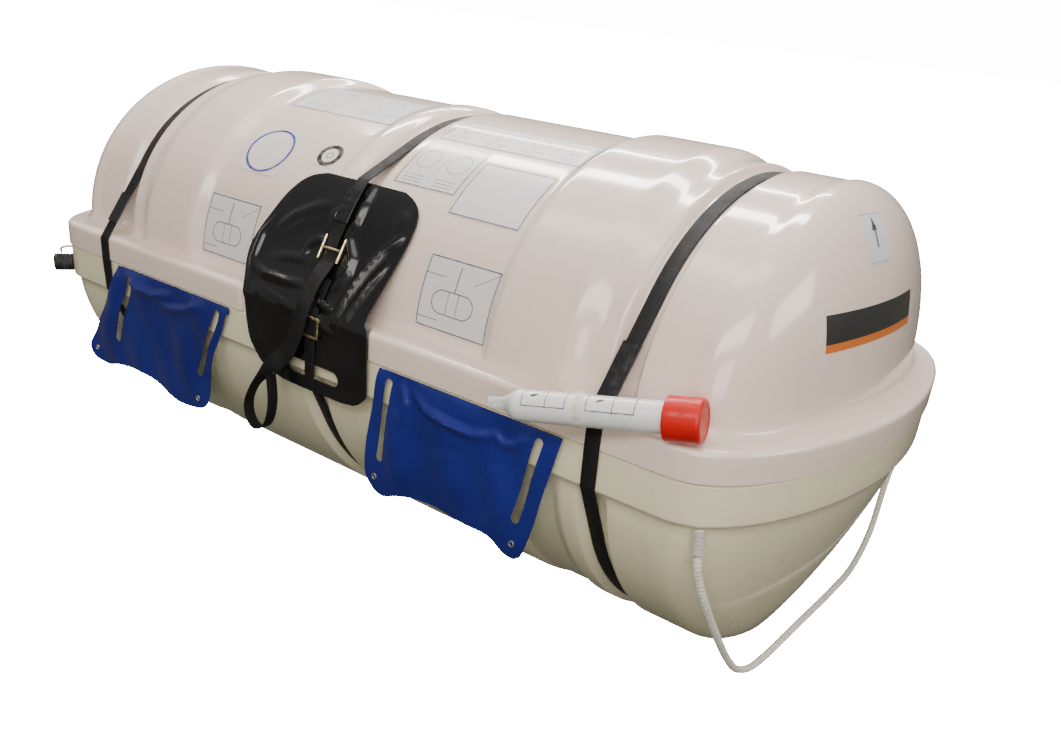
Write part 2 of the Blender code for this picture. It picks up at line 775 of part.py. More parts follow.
# Instruction tube with its push-on cap, tied to the right band.
axis = (TUBE_END - TUBE_TIP).normalized()
turn = axis.to_track_quat("Z", "Y")


def turned(name, profile, finish, place, steps=24):
    """A profile of (radius, height) turned round the tube's axis."""
    bm = bmesh.new()
    verts = [bm.verts.new((r, 0, h)) for r, h in profile]
    for a, b in zip(verts, verts[1:]):
        bm.edges.new((a, b))
    if profile[0][0] > 0:
        bm.edges.new((verts[-1], verts[0]))
    mesh = bpy.data.meshes.new(name)
    bm.to_mesh(mesh)
    bm.free()
    made = link(name, mesh, finish)
    made.rotation_mode = "QUATERNION"
    made.rotation_quaternion = turn
    made.location = place
    screw = made.modifiers.new("turn", "SCREW")
    screw.steps = steps
    screw.render_steps = steps
    screw.use_merge_vertices = True
    screw.merge_threshold = 0.00001
    return made


tube_length = (TUBE_END - TUBE_TIP).length
turned("tube_body", [(0, tube_length), (TUBE_RADIUS, tube_length), (TUBE_RADIUS, 0.046),
                     (0.008, 0.012), (0.007, 0), (0, 0)], white_plastic, TUBE_TIP)
cap_lap = 0.042
turned("tube_cap", [(0, 0.046), (CAP_RADIUS - 0.003, 0.046), (CAP_RADIUS, 0.043), (CAP_RADIUS, 0),
                    (TUBE_RADIUS + GAP, 0), (TUBE_RADIUS + GAP, cap_lap + GAP), (0, cap_lap + GAP)],
       red_plastic, TUBE_END - axis * cap_lap)
TIE_AT = 0.122
turned("tube_tie", [(TUBE_RADIUS + GAP, 0.009), (TUBE_RADIUS + 0.0016, 0.009), (TUBE_RADIUS + 0.0016, 0),
                    (TUBE_RADIUS + GAP, 0)], cream_rope, TUBE_TIP + axis * TIE_AT)

# Rope loop at the right end, between the two corners of the lower shell, whipped where it comes out.
rope_points = [(0.7003, -0.3526, 0.2860), (0.706, -0.353, 0.262), (0.716, -0.336, 0.216),
               (0.721, -0.286, 0.145), (0.725, -0.240, 0.088), (0.729, -0.203, 0.056),
               (0.740, -0.165, 0.056), (0.752, -0.058, 0.085), (0.754, 0.045, 0.095),
               (0.747, 0.142, 0.095), (0.737, 0.225, 0.126), (0.727, 0.272, 0.195),
               (0.717, 0.325, 0.236), (0.709, 0.350, 0.266), (0.7063, 0.3526, 0.2860)]
tube_curve("rope_loop", smooth_route(rope_points, 0.02), ROPE_RADIUS, cream_rope)
for name, side in (("rope_end_front", -1), ("rope_end_back", 1)):
    x = 0.700 if side < 0 else 0.706
    stub = [(0.694, side * 0.3496, 0.3184), (0.697, side * 0.3512, 0.304), (x, side * 0.3525, 0.2885)]
    tube_curve(name, stub, ROPE_RADIUS + 0.0015, cream_rope)

# A rubber bung on a short cord closes the line's exit at the left end. It sits against the band's wall.
BUNG_RADIUS = 0.0165
BUNG_LENGTH = 0.036
BUNG_Z = 0.340
wall_line = ring(LENGTH / 2 - BAND_INSET, WIDTH / 2 - BAND_INSET, BUNG_Z)
walls = [((a + b) / 2, (b - a).cross(Vector((0, 0, 1))).normalized())
         for a, b in zip(wall_line, wall_line[1:])]
seat, outward = min(walls, key=lambda wall: (wall[0] - Vector((-0.690, -0.350, BUNG_Z))).length)
bm = bmesh.new()
bmesh.ops.create_cone(bm, cap_ends=True, segments=20, radius1=BUNG_RADIUS, radius2=BUNG_RADIUS,
                      depth=BUNG_LENGTH)
bung = link("bung", mesh_of("bung", bm), black_rubber, seat + outward * (BUNG_LENGTH / 2 + GAP))
bung.rotation_mode = "QUATERNION"
bung.rotation_quaternion = outward.to_track_quat("Z", "Y")
softened(bung, 0.005)
cord_top = Vector((seat.x, seat.y, BUNG_Z + 0.030))
cord_end = Vector((seat.x, seat.y, BUNG_Z + BUNG_RADIUS + 0.001)) + outward * 0.021
bung_line = [cord_top + outward * 0.0004, cord_top + outward * 0.010, cord_end + Vector((0, 0, 0.009)),
             cord_end]
tube_curve("bung_cord", smooth_route(bung_line, 0.008), CORD_RADIUS, cream_rope)
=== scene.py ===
import math

import bmesh
import bpy
import numpy as np
from mathutils import Matrix, Vector


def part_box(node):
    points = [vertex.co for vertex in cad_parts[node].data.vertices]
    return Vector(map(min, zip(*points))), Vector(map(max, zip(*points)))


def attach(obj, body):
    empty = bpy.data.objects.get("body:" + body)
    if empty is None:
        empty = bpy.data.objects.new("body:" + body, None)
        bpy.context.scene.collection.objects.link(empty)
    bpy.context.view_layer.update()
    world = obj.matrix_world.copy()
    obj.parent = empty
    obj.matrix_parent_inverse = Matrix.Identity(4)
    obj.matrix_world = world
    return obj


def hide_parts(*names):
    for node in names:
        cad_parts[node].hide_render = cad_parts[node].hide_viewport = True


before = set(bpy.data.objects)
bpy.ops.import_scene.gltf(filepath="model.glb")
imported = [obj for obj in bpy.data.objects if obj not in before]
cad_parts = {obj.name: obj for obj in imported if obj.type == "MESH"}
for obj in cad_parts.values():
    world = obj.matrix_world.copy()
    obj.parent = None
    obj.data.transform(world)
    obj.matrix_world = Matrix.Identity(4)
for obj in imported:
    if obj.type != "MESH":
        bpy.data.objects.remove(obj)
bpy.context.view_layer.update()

# Camera: where the photographer stood, a little above the canister and off its right-hand front corner.
# The lens and the small shift give the photograph's own framing of 1061 by 743.
# The tube and sheets reach further out than the back does, so the canister's middle lies FRONT_SHIFT back.
FRONT_SHIFT = 0.0291
PHOTO_WIDTH, FOCAL, SHIFT_RIGHT, SHIFT_UP, SENSOR = 1061, 1010.68, 28.09, 142.64, 36
STANDS_OFF, AIMED_AT = 1.9185, Vector((0.1347, FRONT_SHIFT, -0.0029))
azimuth, elevation, lean = (math.radians(a) for a in (36.738, 27.287, 5.757))
back = Vector((math.sin(azimuth) * math.cos(elevation), -math.cos(azimuth) * math.cos(elevation),
               math.sin(elevation)))
level = Vector((math.cos(azimuth), math.sin(azimuth), 0))
upright = back.cross(level)
right = level * math.cos(lean) + upright * math.sin(lean)
up = upright * math.cos(lean) - level * math.sin(lean)
photographer = bpy.data.objects.new("camera", bpy.data.cameras.new("camera"))
bpy.context.scene.collection.objects.link(photographer)
photographer.data.sensor_width = SENSOR
photographer.data.lens = FOCAL / PHOTO_WIDTH * SENSOR
photographer.data.shift_x = SHIFT_RIGHT / PHOTO_WIDTH
photographer.data.shift_y = SHIFT_UP / PHOTO_WIDTH
photographer.data.clip_start = 0.05
turned_to = Matrix((right, up, back)).transposed().to_4x4()
photographer.matrix_world = Matrix.Translation(AIMED_AT + back * STANDS_OFF) @ turned_to
bpy.context.scene.camera = photographer


# Rope loop: a cream braided rope of 11 mm, spliced to the two corners of the right end under the band.
# It hangs free between them, nearer to the front, and just clears the floor.
class Shade:
    """One value in a material. Arithmetic on it adds Math nodes."""

    def __init__(self, finish, socket):
        self.finish, self.socket = finish, socket

    def math(self, operation, *values):
        return self.finish.node("ShaderNodeMath", {"operation": operation}, *values)[0]

    def __add__(self, other):
        return self.math("ADD", self, other)

    def __sub__(self, other):
        return self.math("SUBTRACT", self, other)

    def __rsub__(self, other):
        return self.math("SUBTRACT", other, self)

    def __mul__(self, other):
        return self.math("MULTIPLY", self, other)

    def __truediv__(self, other):
        return self.math("DIVIDE", self, other)

    def __pow__(self, other):
        return self.math("POWER", self, other)

    def __lt__(self, other):
        return self.math("LESS_THAN", self, other)

    def __gt__(self, other):
        return self.math("GREATER_THAN", self, other)

    def __abs__(self):
        return self.math("ABSOLUTE", self)

    __radd__ = __add__
    __rmul__ = __mul__

    def most(self, other):
        return self.math("MAXIMUM", self, other)

    def least(self, other):
        return self.math("MINIMUM", self, other)

    def wave(self, times):
        """A sine that goes round that many times for each unit."""
        return self.math("SINE", self * (2 * math.pi * times))

    def fraction(self):
        return self.math("FRACT", self)

    def spread(self, low, high, to_low=0.0, to_high=1.0):
        """Taken softly from one range to another and held at its ends."""
        return self.finish.node("ShaderNodeMapRange", {"interpolation_type": "SMOOTHSTEP"},
                                self, low, high, to_low, to_high)[0]


class Finish:
    """A named material, with its object coordinates and its UV map at hand."""

    def __init__(self, name, colour, roughness, metallic=0.0, **constants):
        self.material = bpy.data.materials.new(name)
        self.material.use_nodes = True
        self.tree = self.material.node_tree
        self.shader = self.tree.nodes["Principled BSDF"]
        constants.update(Base_Color=(*colour, 1), Roughness=roughness, Metallic=metallic)
        for key, value in constants.items():
            self.shader.inputs[key.replace("_", " ")].default_value = value
        sources = self.node("ShaderNodeTexCoord", {})
        self.place, self.uv = sources[3], sources[2]

    def node(self, kind, settings, *values, **named):
        """A node with its settings and then its inputs, as the list of its outputs."""
        made = self.tree.nodes.new(kind)
        for key, value in settings.items():
            setattr(made, key, value)
        inputs = [s for s in made.inputs if s.enabled]
        pairs = list(zip(inputs, values))
        pairs += [(next(s for s in inputs if s.name == key.replace("_", " ")), value)
                  for key, value in named.items()]
        for socket, value in pairs:
            if isinstance(value, Shade):
                self.tree.links.new(value.socket, socket)
            elif value is not None:
                socket.default_value = value
        return [Shade(self, out) for out in made.outputs if out.enabled]

    def noise(self, scale, detail=3.0, rough=0.5, where=None):
        return self.node("ShaderNodeTexNoise", {}, Vector=where or self.place, Scale=scale, Detail=detail,
                         Roughness=rough)[0]

    def stretched(self, source, scale):
        return self.node("ShaderNodeMapping", {}, Vector=source, Scale=scale)[0]

    def parts(self, source=None):
        """The x, y and z of a place, as three values."""
        return self.node("ShaderNodeSeparateXYZ", {}, source or self.place)

    def mixed(self, amount, first, second):
        colours = [c if isinstance(c, Shade) else (*c, 1) for c in (first, second)]
        return self.node("ShaderNodeMix", {"data_type": "RGBA"}, Factor=amount, A=colours[0], B=colours[1])[0]

    def feed(self, name, value):
        self.tree.links.new(value.socket, self.shader.inputs[name])

    def relief(self, *layers):
        """Bump from one or more of (height, strength, distance), each laid over the one before."""
        below = None
        for height, strength, distance in layers:
            below = self.node("ShaderNodeBump", {}, Strength=strength, Distance=distance, Height=height,
                              Normal=below)[0]
        self.feed("Normal", below)


def piece(name, points, faces, finish, uvs=None, sharp=35):
    """A mesh from points in the canister's own frame, shaded smooth except at its sharp edges."""
    mesh = bpy.data.meshes.new(name)
    mesh.from_pydata([(x, y + FRONT_SHIFT, z) for x, y, z in points], [], [tuple(map(int, f)) for f in faces])
    if uvs is not None:
        corners = np.zeros(len(mesh.loops), dtype=int)
        mesh.loops.foreach_get("vertex_index", corners)
        mesh.uv_layers.new(name="UVMap").data.foreach_set("uv", np.array(uvs, dtype=float)[corners].ravel())
    mesh.validate()
    made = bpy.data.objects.new(name, mesh)
    bpy.context.scene.collection.objects.link(made)
    made.data.materials.append(finish.material)
    closed(made, sharp)
    return made


def closed(made, sharp=35, merge=0.00001):
    """Merges the doubles of a piece, turns its faces outwards and shades it."""
    bm = bmesh.new()
    bm.from_mesh(made.data)
    bmesh.ops.remove_doubles(bm, verts=bm.verts, dist=merge)
    bmesh.ops.recalc_face_normals(bm, faces=bm.faces)
    bm.to_mesh(made.data)
    bm.free()
    made.data.shade_smooth()
    made.data.set_sharp_from_angle(angle=math.radians(sharp))


def settled(made, sharp=35):
    """The piece with what its modifiers give taken into its mesh."""
    bpy.context.view_layer.update()
    result = bpy.data.meshes.new_from_object(made.evaluated_get(bpy.context.evaluated_depsgraph_get()))
    made.modifiers.clear()
    made.data = result
    made.data.shade_smooth()
    made.data.set_sharp_from_angle(angle=math.radians(sharp))
    return made


def fitted(made, body, slot, *nodes):
    """The piece rides on a body and stands for the CAD nodes, which it hides. The slot is not used."""
    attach(made, body)
    if nodes:
        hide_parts(*nodes)
    return made


def smooth_route(points, spacing):
    """Points at an even spacing on a smooth curve through the given ones."""
    given = [Vector(p) for p in points]
    given = [given[0]] + given + [given[-1]]
    fine = []
    for a, b, c, d in zip(given, given[1:], given[2:], given[3:]):
        for k in range(16):
            t = k / 16
            fine.append(0.5 * (2 * b + (c - a) * t + (2 * a - 5 * b + 4 * c - d) * t * t
                               + (3 * b - a - 3 * c + d) * t**3))
    fine.append(given[-1])
    even, gone = [fine[0]], 0.0
    for a, b in zip(fine, fine[1:]):
        step = (b - a).length
        while gone + step >= spacing:
            a = a.lerp(b, (spacing - gone) / step)
            even.append(a)
            step, gone = (b - a).length, 0.0
        gone += step
    if (even[-1] - fine[-1]).length < spacing * 0.6:
        even.pop()
    return even + [fine[-1]]


def route_length(points):
    return sum((b - a).length for a, b in zip(points, points[1:]))


def grid_faces(rows, columns):
    """The quads of a grid of points that is stored row by row."""
    row = columns + 1
    return [(i * row + k, i * row + k + 1, (i + 1) * row + k + 1, (i + 1) * row + k)
            for i in range(rows) for k in range(columns)]


def hose(name, route, radius, finish, sides=20, shape=None):
    """A round skin along a route. Its UV map runs once round it, and along it in metres."""
    points, uvs, gone = [], [], 0.0
    side = Vector((0, 0, 1)).cross(route[1] - route[0])
    if side.length < 1e-6:
        side = Vector((1, 0, 0))
    for i, p in enumerate(route):
        along = (route[min(i + 1, len(route) - 1)] - route[max(i - 1, 0)]).normalized()
        side = (side - along * side.dot(along)).normalized()
        other = along.cross(side)
        gone += (p - route[i - 1]).length if i else 0.0
        for k in range(sides + 1):
            turn = 2 * math.pi * k / sides
            out = radius if shape is None else shape(gone, turn)
            points.append(p + (side * math.cos(turn) + other * math.sin(turn)) * out)
            uvs.append((k / sides, gone))
    last = (len(route) - 1) * (sides + 1)
    faces = grid_faces(len(route) - 1, sides) + [range(sides)[::-1], range(last, last + sides)]
    return piece(name, points, faces, finish, uvs)


ROPE_RADIUS, BRAID_PITCH, BRAID_STRANDS = 0.0055, 0.011, 5
rope_cover = Finish("cream_rope", (0.62, 0.585, 0.50), 0.85, Sheen_Weight=0.2)
round_it, along_it, _ = rope_cover.parts(rope_cover.uv)
braid = ((round_it * BRAID_STRANDS + along_it / BRAID_PITCH).wave(1)
         * (round_it * BRAID_STRANDS - along_it / BRAID_PITCH).wave(1))
rope_cover.relief((braid, 0.6, 0.0012), (rope_cover.noise(900, 2), 0.3, 0.0006))
soil = rope_cover.noise(14, 4, 0.6).spread(0.35, 0.75)
# The braid's grooves are painted darker, as shade between the strands. The soil patches are real dirt.
rope_cover.feed("Base Color", rope_cover.mixed(braid.spread(-1, 1, 0.3, 0) + soil * 0.45,
                                               (0.84, 0.79, 0.70), (0.60, 0.55, 0.45)))
ROPE_POINTS = [(0.7003, -0.3526, 0.2860), (0.706, -0.353, 0.262), (0.716, -0.336, 0.216), (0.721, -0.286, 0.145),
               (0.725, -0.240, 0.088), (0.729, -0.203, 0.056), (0.740, -0.165, 0.056), (0.752, -0.058, 0.085),
               (0.754, 0.045, 0.095), (0.747, 0.142, 0.095), (0.737, 0.225, 0.126), (0.727, 0.272, 0.195),
               (0.717, 0.325, 0.236), (0.709, 0.350, 0.266), (0.7063, 0.3526, 0.2860)]
rope_route = smooth_route(ROPE_POINTS, 0.006)
rope = fitted(hose("rope_skin", rope_route, ROPE_RADIUS, rope_cover), "lower_half", "rope", "rope_loop")
in_frame = Vector((0, FRONT_SHIFT, 0))
rope_route[0] + in_frame
route_length(rope_route)
[p + in_frame for p in rope_route]

# Rope ends: where the rope leaves the shell it is bound with pale twine, which has frayed a little.
# The front binding is the one that shows.
TWINE_PITCH = 0.0016
twine = Finish("pale_twine", (0.74, 0.72, 0.66), 0.9, Sheen_Weight=0.2)
turn_of, twine_along, _ = twine.parts(twine.uv)
winding = (twine_along / TWINE_PITCH + turn_of).wave(1)
twine.relief((winding, 0.8, 0.0007), (twine.noise(700, 2), 0.4, 0.0006))
# The grooves between the turns are painted dark, as shade. The pale crests are the twine's own colour.
twine.feed("Base Color", twine.mixed(winding.spread(-1, 0.4), (0.62, 0.58, 0.50), (0.90, 0.87, 0.80)))


def wound(gone, turn):
    return ROPE_RADIUS + 0.001 + 0.0003 * math.sin(gone / TWINE_PITCH * 2 * math.pi + turn)


for name, side, x in (("front", -1, 0.700), ("back", 1, 0.706)):
    stub = [(0.694, side * 0.3496, 0.3184), (0.697, side * 0.3512, 0.304), (x, side * 0.3525, 0.2886)]
    bound = hose(f"rope_binding_{name}", smooth_route(stub, 0.0006), ROPE_RADIUS, twine, 24, wound)
    fitted(bound, "lower_half", "rope", f"rope_end_{name}")

# Upper shell: the lid of the canister, moulded in ivory glass-fibre with a glossy gelcoat.
# Two raised hoops, three band grooves and one rib cross it, and its lip sits on the lower shell's shoulder.
LENGTH, WIDTH = 1.600, 0.740
LIP_TOP, LIP_BOTTOM = 0.423, 0.379
DOME_RISE, LEDGE, WALL = 0.274, 0.045, 0.006
BODY_END = 0.643
STRAP_X, CENTRE_X = 0.540, 0.005
NOTCH_X, NOTCH_HALF, NOTCH_DEPTH = -0.010, 0.140, 0.022
BASE_LENGTH, BASE_WIDTH = LENGTH / 2 - LEDGE, WIDTH / 2 - LEDGE
END_STEPS = 26
END_LONG, END_WIDE, DOME_POWER = 2.19, 1.80, 2.05
FIRST_TURN, DOME_STEPS = 3.4, 36


def smooth(low, high, value):
    t = min(1.0, max(0.0, (value - low) / (high - low)))
    return t * t * (3 - 2 * t)


def bump(x, start, end, blend):
    """1 between start and end, falling softly to 0 over blend outside them."""
    return smooth(start - blend, start, x) * (1 - smooth(end, end + blend, x))


def dome_relief(x):
    """Height of the hoops, rib and grooves over the plain dome at x."""
    far = abs(x)
    raised = 0.0135 * smooth(0.312, 0.338, far) * (1 - smooth(0.452, 0.494, far))
    strap = -0.014 * bump(far, STRAP_X - 0.0145, STRAP_X + 0.0145, 0.010)
    centre = -0.014 * bump(x, CENTRE_X - 0.016, CENTRE_X + 0.016, 0.012)
    rib = 0.004 * bump(x, CENTRE_X - 0.058, CENTRE_X - 0.034, 0.006)
    end = -0.003 * smooth(STRAP_X + 0.0145, STRAP_X + 0.026, far)
    return raised + strap + centre + rib + end


def hull_relief(x):
    far = abs(x)
    strap = -0.012 * bump(far, STRAP_X - 0.0145, STRAP_X + 0.0145, 0.012)
    centre = -0.012 * bump(x, CENTRE_X - 0.016, CENTRE_X + 0.016, 0.012)
    return strap + centre - 0.006 * bump(far, 0.400, 0.470, 0.022)


def stations():
    """Places along the straight side, 2.5 mm apart where the relief is steep and up to 10 mm elsewhere."""
    found, x = [-BODY_END], -BODY_END
    while x < BODY_END - 0.004:
        steep = max(abs(shape(x + 0.004) - shape(x - 0.001)) for shape in (dome_relief, hull_relief))
        near_notch = abs(abs(x - NOTCH_X) - NOTCH_HALF) < 0.025
        x += 0.0027 if steep > 0.0002 else 0.004 if near_notch else 0.009
        found.append(min(x, BODY_END))
    return found[:-1] + [BODY_END] if found[-1] < BODY_END else found


STATIONS = stations()


def ring(half_length, half_width, z):
    """One closed outline: front side, right end, back side, left end."""
    depth = half_length - BODY_END
    end = []
    for i in range(1, END_STEPS * 2):
        turn = math.pi * i / (END_STEPS * 2)
        side = -math.cos(turn)
        x = BODY_END + depth * math.sin(turn) ** (2 / END_LONG)
        end.append((x, half_width * math.copysign(abs(side) ** (2 / END_WIDE), side)))
    front = [(x, -half_width) for x in STATIONS]
    outline = front + end + [(x, half_width) for x in reversed(STATIONS)] + [(-x, -y) for x, y in end]
    return [Vector((x, y, z)) for x, y in outline]


def notched(points, depth):
    """The front of the lip drawn back behind the pad."""
    for p in points:
        if p.y < 0 and abs(p.x) < BODY_END:
            p.y += depth * bump(p.x, NOTCH_X - NOTCH_HALF + 0.012, NOTCH_X + NOTCH_HALF - 0.012, 0.022)
    return points


def dome_depth(rise, half_length=BASE_LENGTH):
    """How far the round end reaches at a share of the dome's height."""
    return (half_length - BODY_END) * max(0.0, 1 - rise**DOME_POWER) ** (1 / DOME_POWER)


def dome_ring(turn):
    """The dome's outline at an angle above its foot, in degrees."""
    turn = math.radians(turn)
    rise = math.sin(turn)
    points = ring(BODY_END + dome_depth(rise), BASE_WIDTH * math.cos(turn), LIP_TOP + DOME_RISE * rise)
    for p in points:
        if abs(p.x) < BODY_END:
            scale = 1 + dome_relief(p.x) / BASE_WIDTH
            p.y *= scale
            p.z = LIP_TOP + (p.z - LIP_TOP) * scale
    return points


def upper_rings():
    """The lid's outlines from the lip's foot to the crest: lip, rounded edge, ledge, fillet and dome."""
    rings = []
    for inset, z in ((0.002, LIP_BOTTOM), (0, LIP_BOTTOM + 0.002), (0, LIP_TOP - 0.020)):
        rings.append(notched(ring(LENGTH / 2 - inset, WIDTH / 2 - inset, z), NOTCH_DEPTH - inset / 2))
    for i in range(7):
        turn = math.radians(90 * i / 6)
        inset = 0.009 * (1 - math.cos(turn))
        z = LIP_TOP - 0.009 * (1 - math.sin(turn))
        rings.append(notched(ring(LENGTH / 2 - inset, WIDTH / 2 - inset, z), NOTCH_DEPTH - inset / 2))
    rings.append(notched(ring(BASE_LENGTH + 0.022, BASE_WIDTH + 0.022, LIP_TOP + 0.0004), 0.010))
    foot = notched(ring(BASE_LENGTH + 0.013, BASE_WIDTH + 0.013, LIP_TOP + 0.0006), 0.005)
    landing = dome_ring(FIRST_TURN)
    corner = [Vector(((a.x + b.x) / 2 * 0.2 + b.x * 0.8, a.y * 0.1 + b.y * 0.9, LIP_TOP + 0.0016))
              for a, b in zip(foot, landing)]
    for i in range(6):
        t = i / 6
        rings.append([a * (1 - t) ** 2 + c * (2 * t * (1 - t)) + b * (t * t) for a, b, c in
                      zip(foot, landing, corner)])
    rings += [dome_ring(FIRST_TURN + (90 - FIRST_TURN) * (i / DOME_STEPS) ** 0.92) for i in range(DOME_STEPS + 1)]
    return rings


def loft(name, rings, finish):
    """The skin over rings of equal count."""
    count = len(rings[0])
    points = [p for row in rings for p in row]
    faces = [(r * count + i, r * count + (i + 1) % count, (r + 1) * count + (i + 1) % count, (r + 1) * count + i)
             for r in range(len(rings) - 1) for i in range(count)]
    return piece(name, points, faces, finish)


def walled(made, thick):
    """A skin given its wall on the inside."""
    wall = made.modifiers.new("wall", "SOLIDIFY")
    wall.thickness = thick
    wall.offset = -1
    wall.use_even_offset = True
    return settled(made)


def gelcoat(name, light, shade):
    """Ivory gelcoat: a deep gloss over a slightly wavy moulding, with scuffs, fine dust and rubbed marks."""
    made = Finish(name, light, 0.2, Coat_Weight=0.6, Coat_Roughness=0.06, IOR=1.5)
    height = made.parts()[2]
    cloud = made.noise(3.5, 4, 0.55).spread(0.35, 0.7)
    specks = made.noise(260, 2, 0.6).spread(0.68, 0.78)
    streak = made.noise(6, 5, 0.7, made.stretched(made.place, (6, 6, 0.8))).spread(0.52, 0.8)
    low = height.spread(0.02, 0.30, 1, 0)
    # Noise streaks and fine specks darken the gelcoat, and the streaks darken it more strongly towards the keel.
    streaks_and_specks = streak * (0.10 + low * 0.35) + specks * 0.22
    tone = made.mixed(cloud * 0.5, light, shade)
    made.feed("Base Color", made.mixed(streaks_and_specks, tone, (0.36, 0.34, 0.25)))
    scuffs = made.noise(38, 6, 0.75, made.stretched(made.place, (1, 1, 5))).spread(0.60, 0.74)
    made.feed("Roughness", 0.15 + scuffs * 0.22 + cloud * 0.07 + low * 0.1)
    made.relief((made.noise(5, 2, 0.4), 0.035, 0.02), (made.noise(420, 2), 0.02, 0.0005),
                (scuffs, 0.04, 0.0004))
    return made


ivory = gelcoat("ivory_gelcoat", (0.87, 0.705, 0.60), (0.82, 0.655, 0.545))
upper_section = upper_rings()
fitted(walled(loft("lid", upper_section, ivory), WALL), "upper_half", "gelcoat", "upper_shell")

# Printed panels: clear film with thin grey outlines, smoothed down on the dome, and two rings and a plate.
# They carry only plain shapes.
FINE, BOLD = 0.0009, 0.0015


def dome_point(x, turn, out):
    """The place on the dome at x and an angle above its foot on the front, in degrees, a little proud."""
    turn = math.radians(turn)
    scale = 1 + (dome_relief(x) + out) / BASE_WIDTH
    return Vector((x, -math.cos(turn) * BASE_WIDTH * scale, LIP_TOP + DOME_RISE * math.sin(turn) * scale))


def end_point(y, z, out):
    """The place on the right end of the dome at y and z, a little proud."""
    rise = (z - LIP_TOP) / DOME_RISE
    side = (abs(y) / (BASE_WIDTH * math.sqrt(1 - rise * rise))) ** 0.9
    return Vector((BODY_END + dome_depth(rise) * (1 - side * side) ** (1 / END_LONG) + out, y, z))


def patch(name, points, uvs, row, finish):
    """A thin closed patch. Its points are its back and then its face, both in rows of that many."""
    layer, last = len(points) // 2, row - 1
    rows = layer // row - 1
    quads = grid_faces(rows, last)
    faces = [tuple(layer + q for q in quad) for quad in quads] + [quad[::-1] for quad in quads]
    rim = ([i for i in range(last)] + [j * row + last for j in range(rows)]
           + [rows * row + last - i for i in range(last)] + [(rows - j) * row for j in range(rows)])
    faces += [(a, b, layer + b, layer + a) for a, b in zip(rim, rim[1:] + rim[:1])]
    return fitted(piece(name, points, faces, finish, uvs), "upper_half", "white_plastic")


def film(name, across, rise, finish, place=dome_point, steps=28):
    """A thin patch on a curved face, from one pair of places to another."""
    points, uvs = [], []
    for out in (0.0002, 0.0005):
        for v in (j / steps for j in range(steps + 1)):
            for u in (i / steps for i in range(steps + 1)):
                points.append(place(across[0] + (across[1] - across[0]) * u, rise[0] + (rise[1] - rise[0]) * v, out))
                uvs.append((u, v))
    return patch(name, points, uvs, steps + 1, finish)


def panel_finish(name, width, height, draw, ground, ink):
    """Film printed in thin lines. draw gives how much ink there is, from the place in metres."""
    made = Finish(name, ground, 0.28, Coat_Weight=0.3, Coat_Roughness=0.08)
    u, v, _ = made.parts(made.uv)
    inked = draw(u * width, v * height)
    worn = made.noise(90, 3, 0.6).spread(0.4, 0.62, 0.85, 1)
    made.feed("Base Color", made.mixed(inked * worn, ground, ink))
    made.feed("Roughness", 0.24 + made.noise(40, 4, 0.6) * 0.16)
    made.relief((made.noise(5, 2, 0.4), 0.035, 0.02), (made.noise(420, 2), 0.02, 0.0005))
    return made


def stroke(distance, thick):
    """Ink where a distance is less than half of the stroke."""
    return abs(distance).spread(thick * 0.5, thick * 0.85, 1, 0)


def framed(width, height, thick=BOLD, inset=0.002):
    """A draw function for a thin frame round the panel."""
    def draw(x, y):
        edge = (x.least(width - x)).least(y.least(height - y))
        return stroke(edge - inset, thick)
    return draw


def hung_capsule(width, height):
    """A frame with a plain capsule that hangs from a line over two rules."""
    frame_ink = framed(width, height)

    def draw(x, y):
        cx, cy = width * 0.47, height * 0.40
        across, over = abs(x - cx) - width * 0.15, abs(y - cy)
        capsule = (across.most(0.0) ** 2 + over**2) ** 0.5 - height * 0.16
        inside = (x > cx - 0.001) * (x < cx + 0.001) * (y > cy + height * 0.16) * (y < height * 0.92)
        ribs = stroke(abs(x - cx) - width * 0.07, FINE) * (capsule < 0)
        rules = (stroke(y - height * 0.14, FINE) + stroke(y - height * 0.74, FINE)) * (x < width * 0.30)
        slant = stroke(x * 0.7 - y + height * 0.15, FINE) * (x > width * 0.70) * (y > height * 0.55)
        return (frame_ink(x, y) + stroke(capsule, 0.0012) + inside + ribs + rules + slant).least(1.0)
    return draw


def ruled(width, height, cells):
    """A frame split into cells, each with a ring and short rules."""
    frame_ink = framed(width, height)

    def draw(x, y):
        cell = (x / (width / cells)).fraction() * (width / cells)
        divide = stroke(cell, FINE)
        ring_at = ((cell - width / cells * 0.5) ** 2 + (y - height * 0.58) ** 2) ** 0.5
        rings_ink = stroke(ring_at - height * 0.20, FINE)
        rules = stroke((y / 0.006).fraction() * 0.006 - 0.003, FINE) * (y < height * 0.27) \
            * (cell > width / cells * 0.18) * (cell < width / cells * 0.8)
        return (frame_ink(x, y) + divide + rings_ink + rules).least(1.0) * 0.9
    return draw


def plain_ring(radius, thick, dot=0.0):
    """A draw function for a ring in the middle of a square patch, and a small ring inside it."""
    def maker(width, height):
        def draw(x, y):
            far = ((x - width / 2) ** 2 + (y - height / 2) ** 2) ** 0.5
            ink = stroke(far - radius, thick)
            return (ink + stroke(far - dot, 0.0012)).least(1.0) if dot else ink
        return draw
    return maker


def plain_arrow(width, height):
    """A draw function for an upright arrow between two thin rules."""
    def draw(x, y):
        off = abs(x - width / 2)
        shaft = (off < 0.0022) * (y > height * 0.32) * (y < height * 0.78)
        head = (off < (height * 0.93 - y) * 0.42) * (y > height * 0.66)
        edge = stroke(y - 0.002, FINE) + stroke(y - height + 0.002, FINE)
        return (shaft + head + edge * 0.5).least(1.0)
    return draw


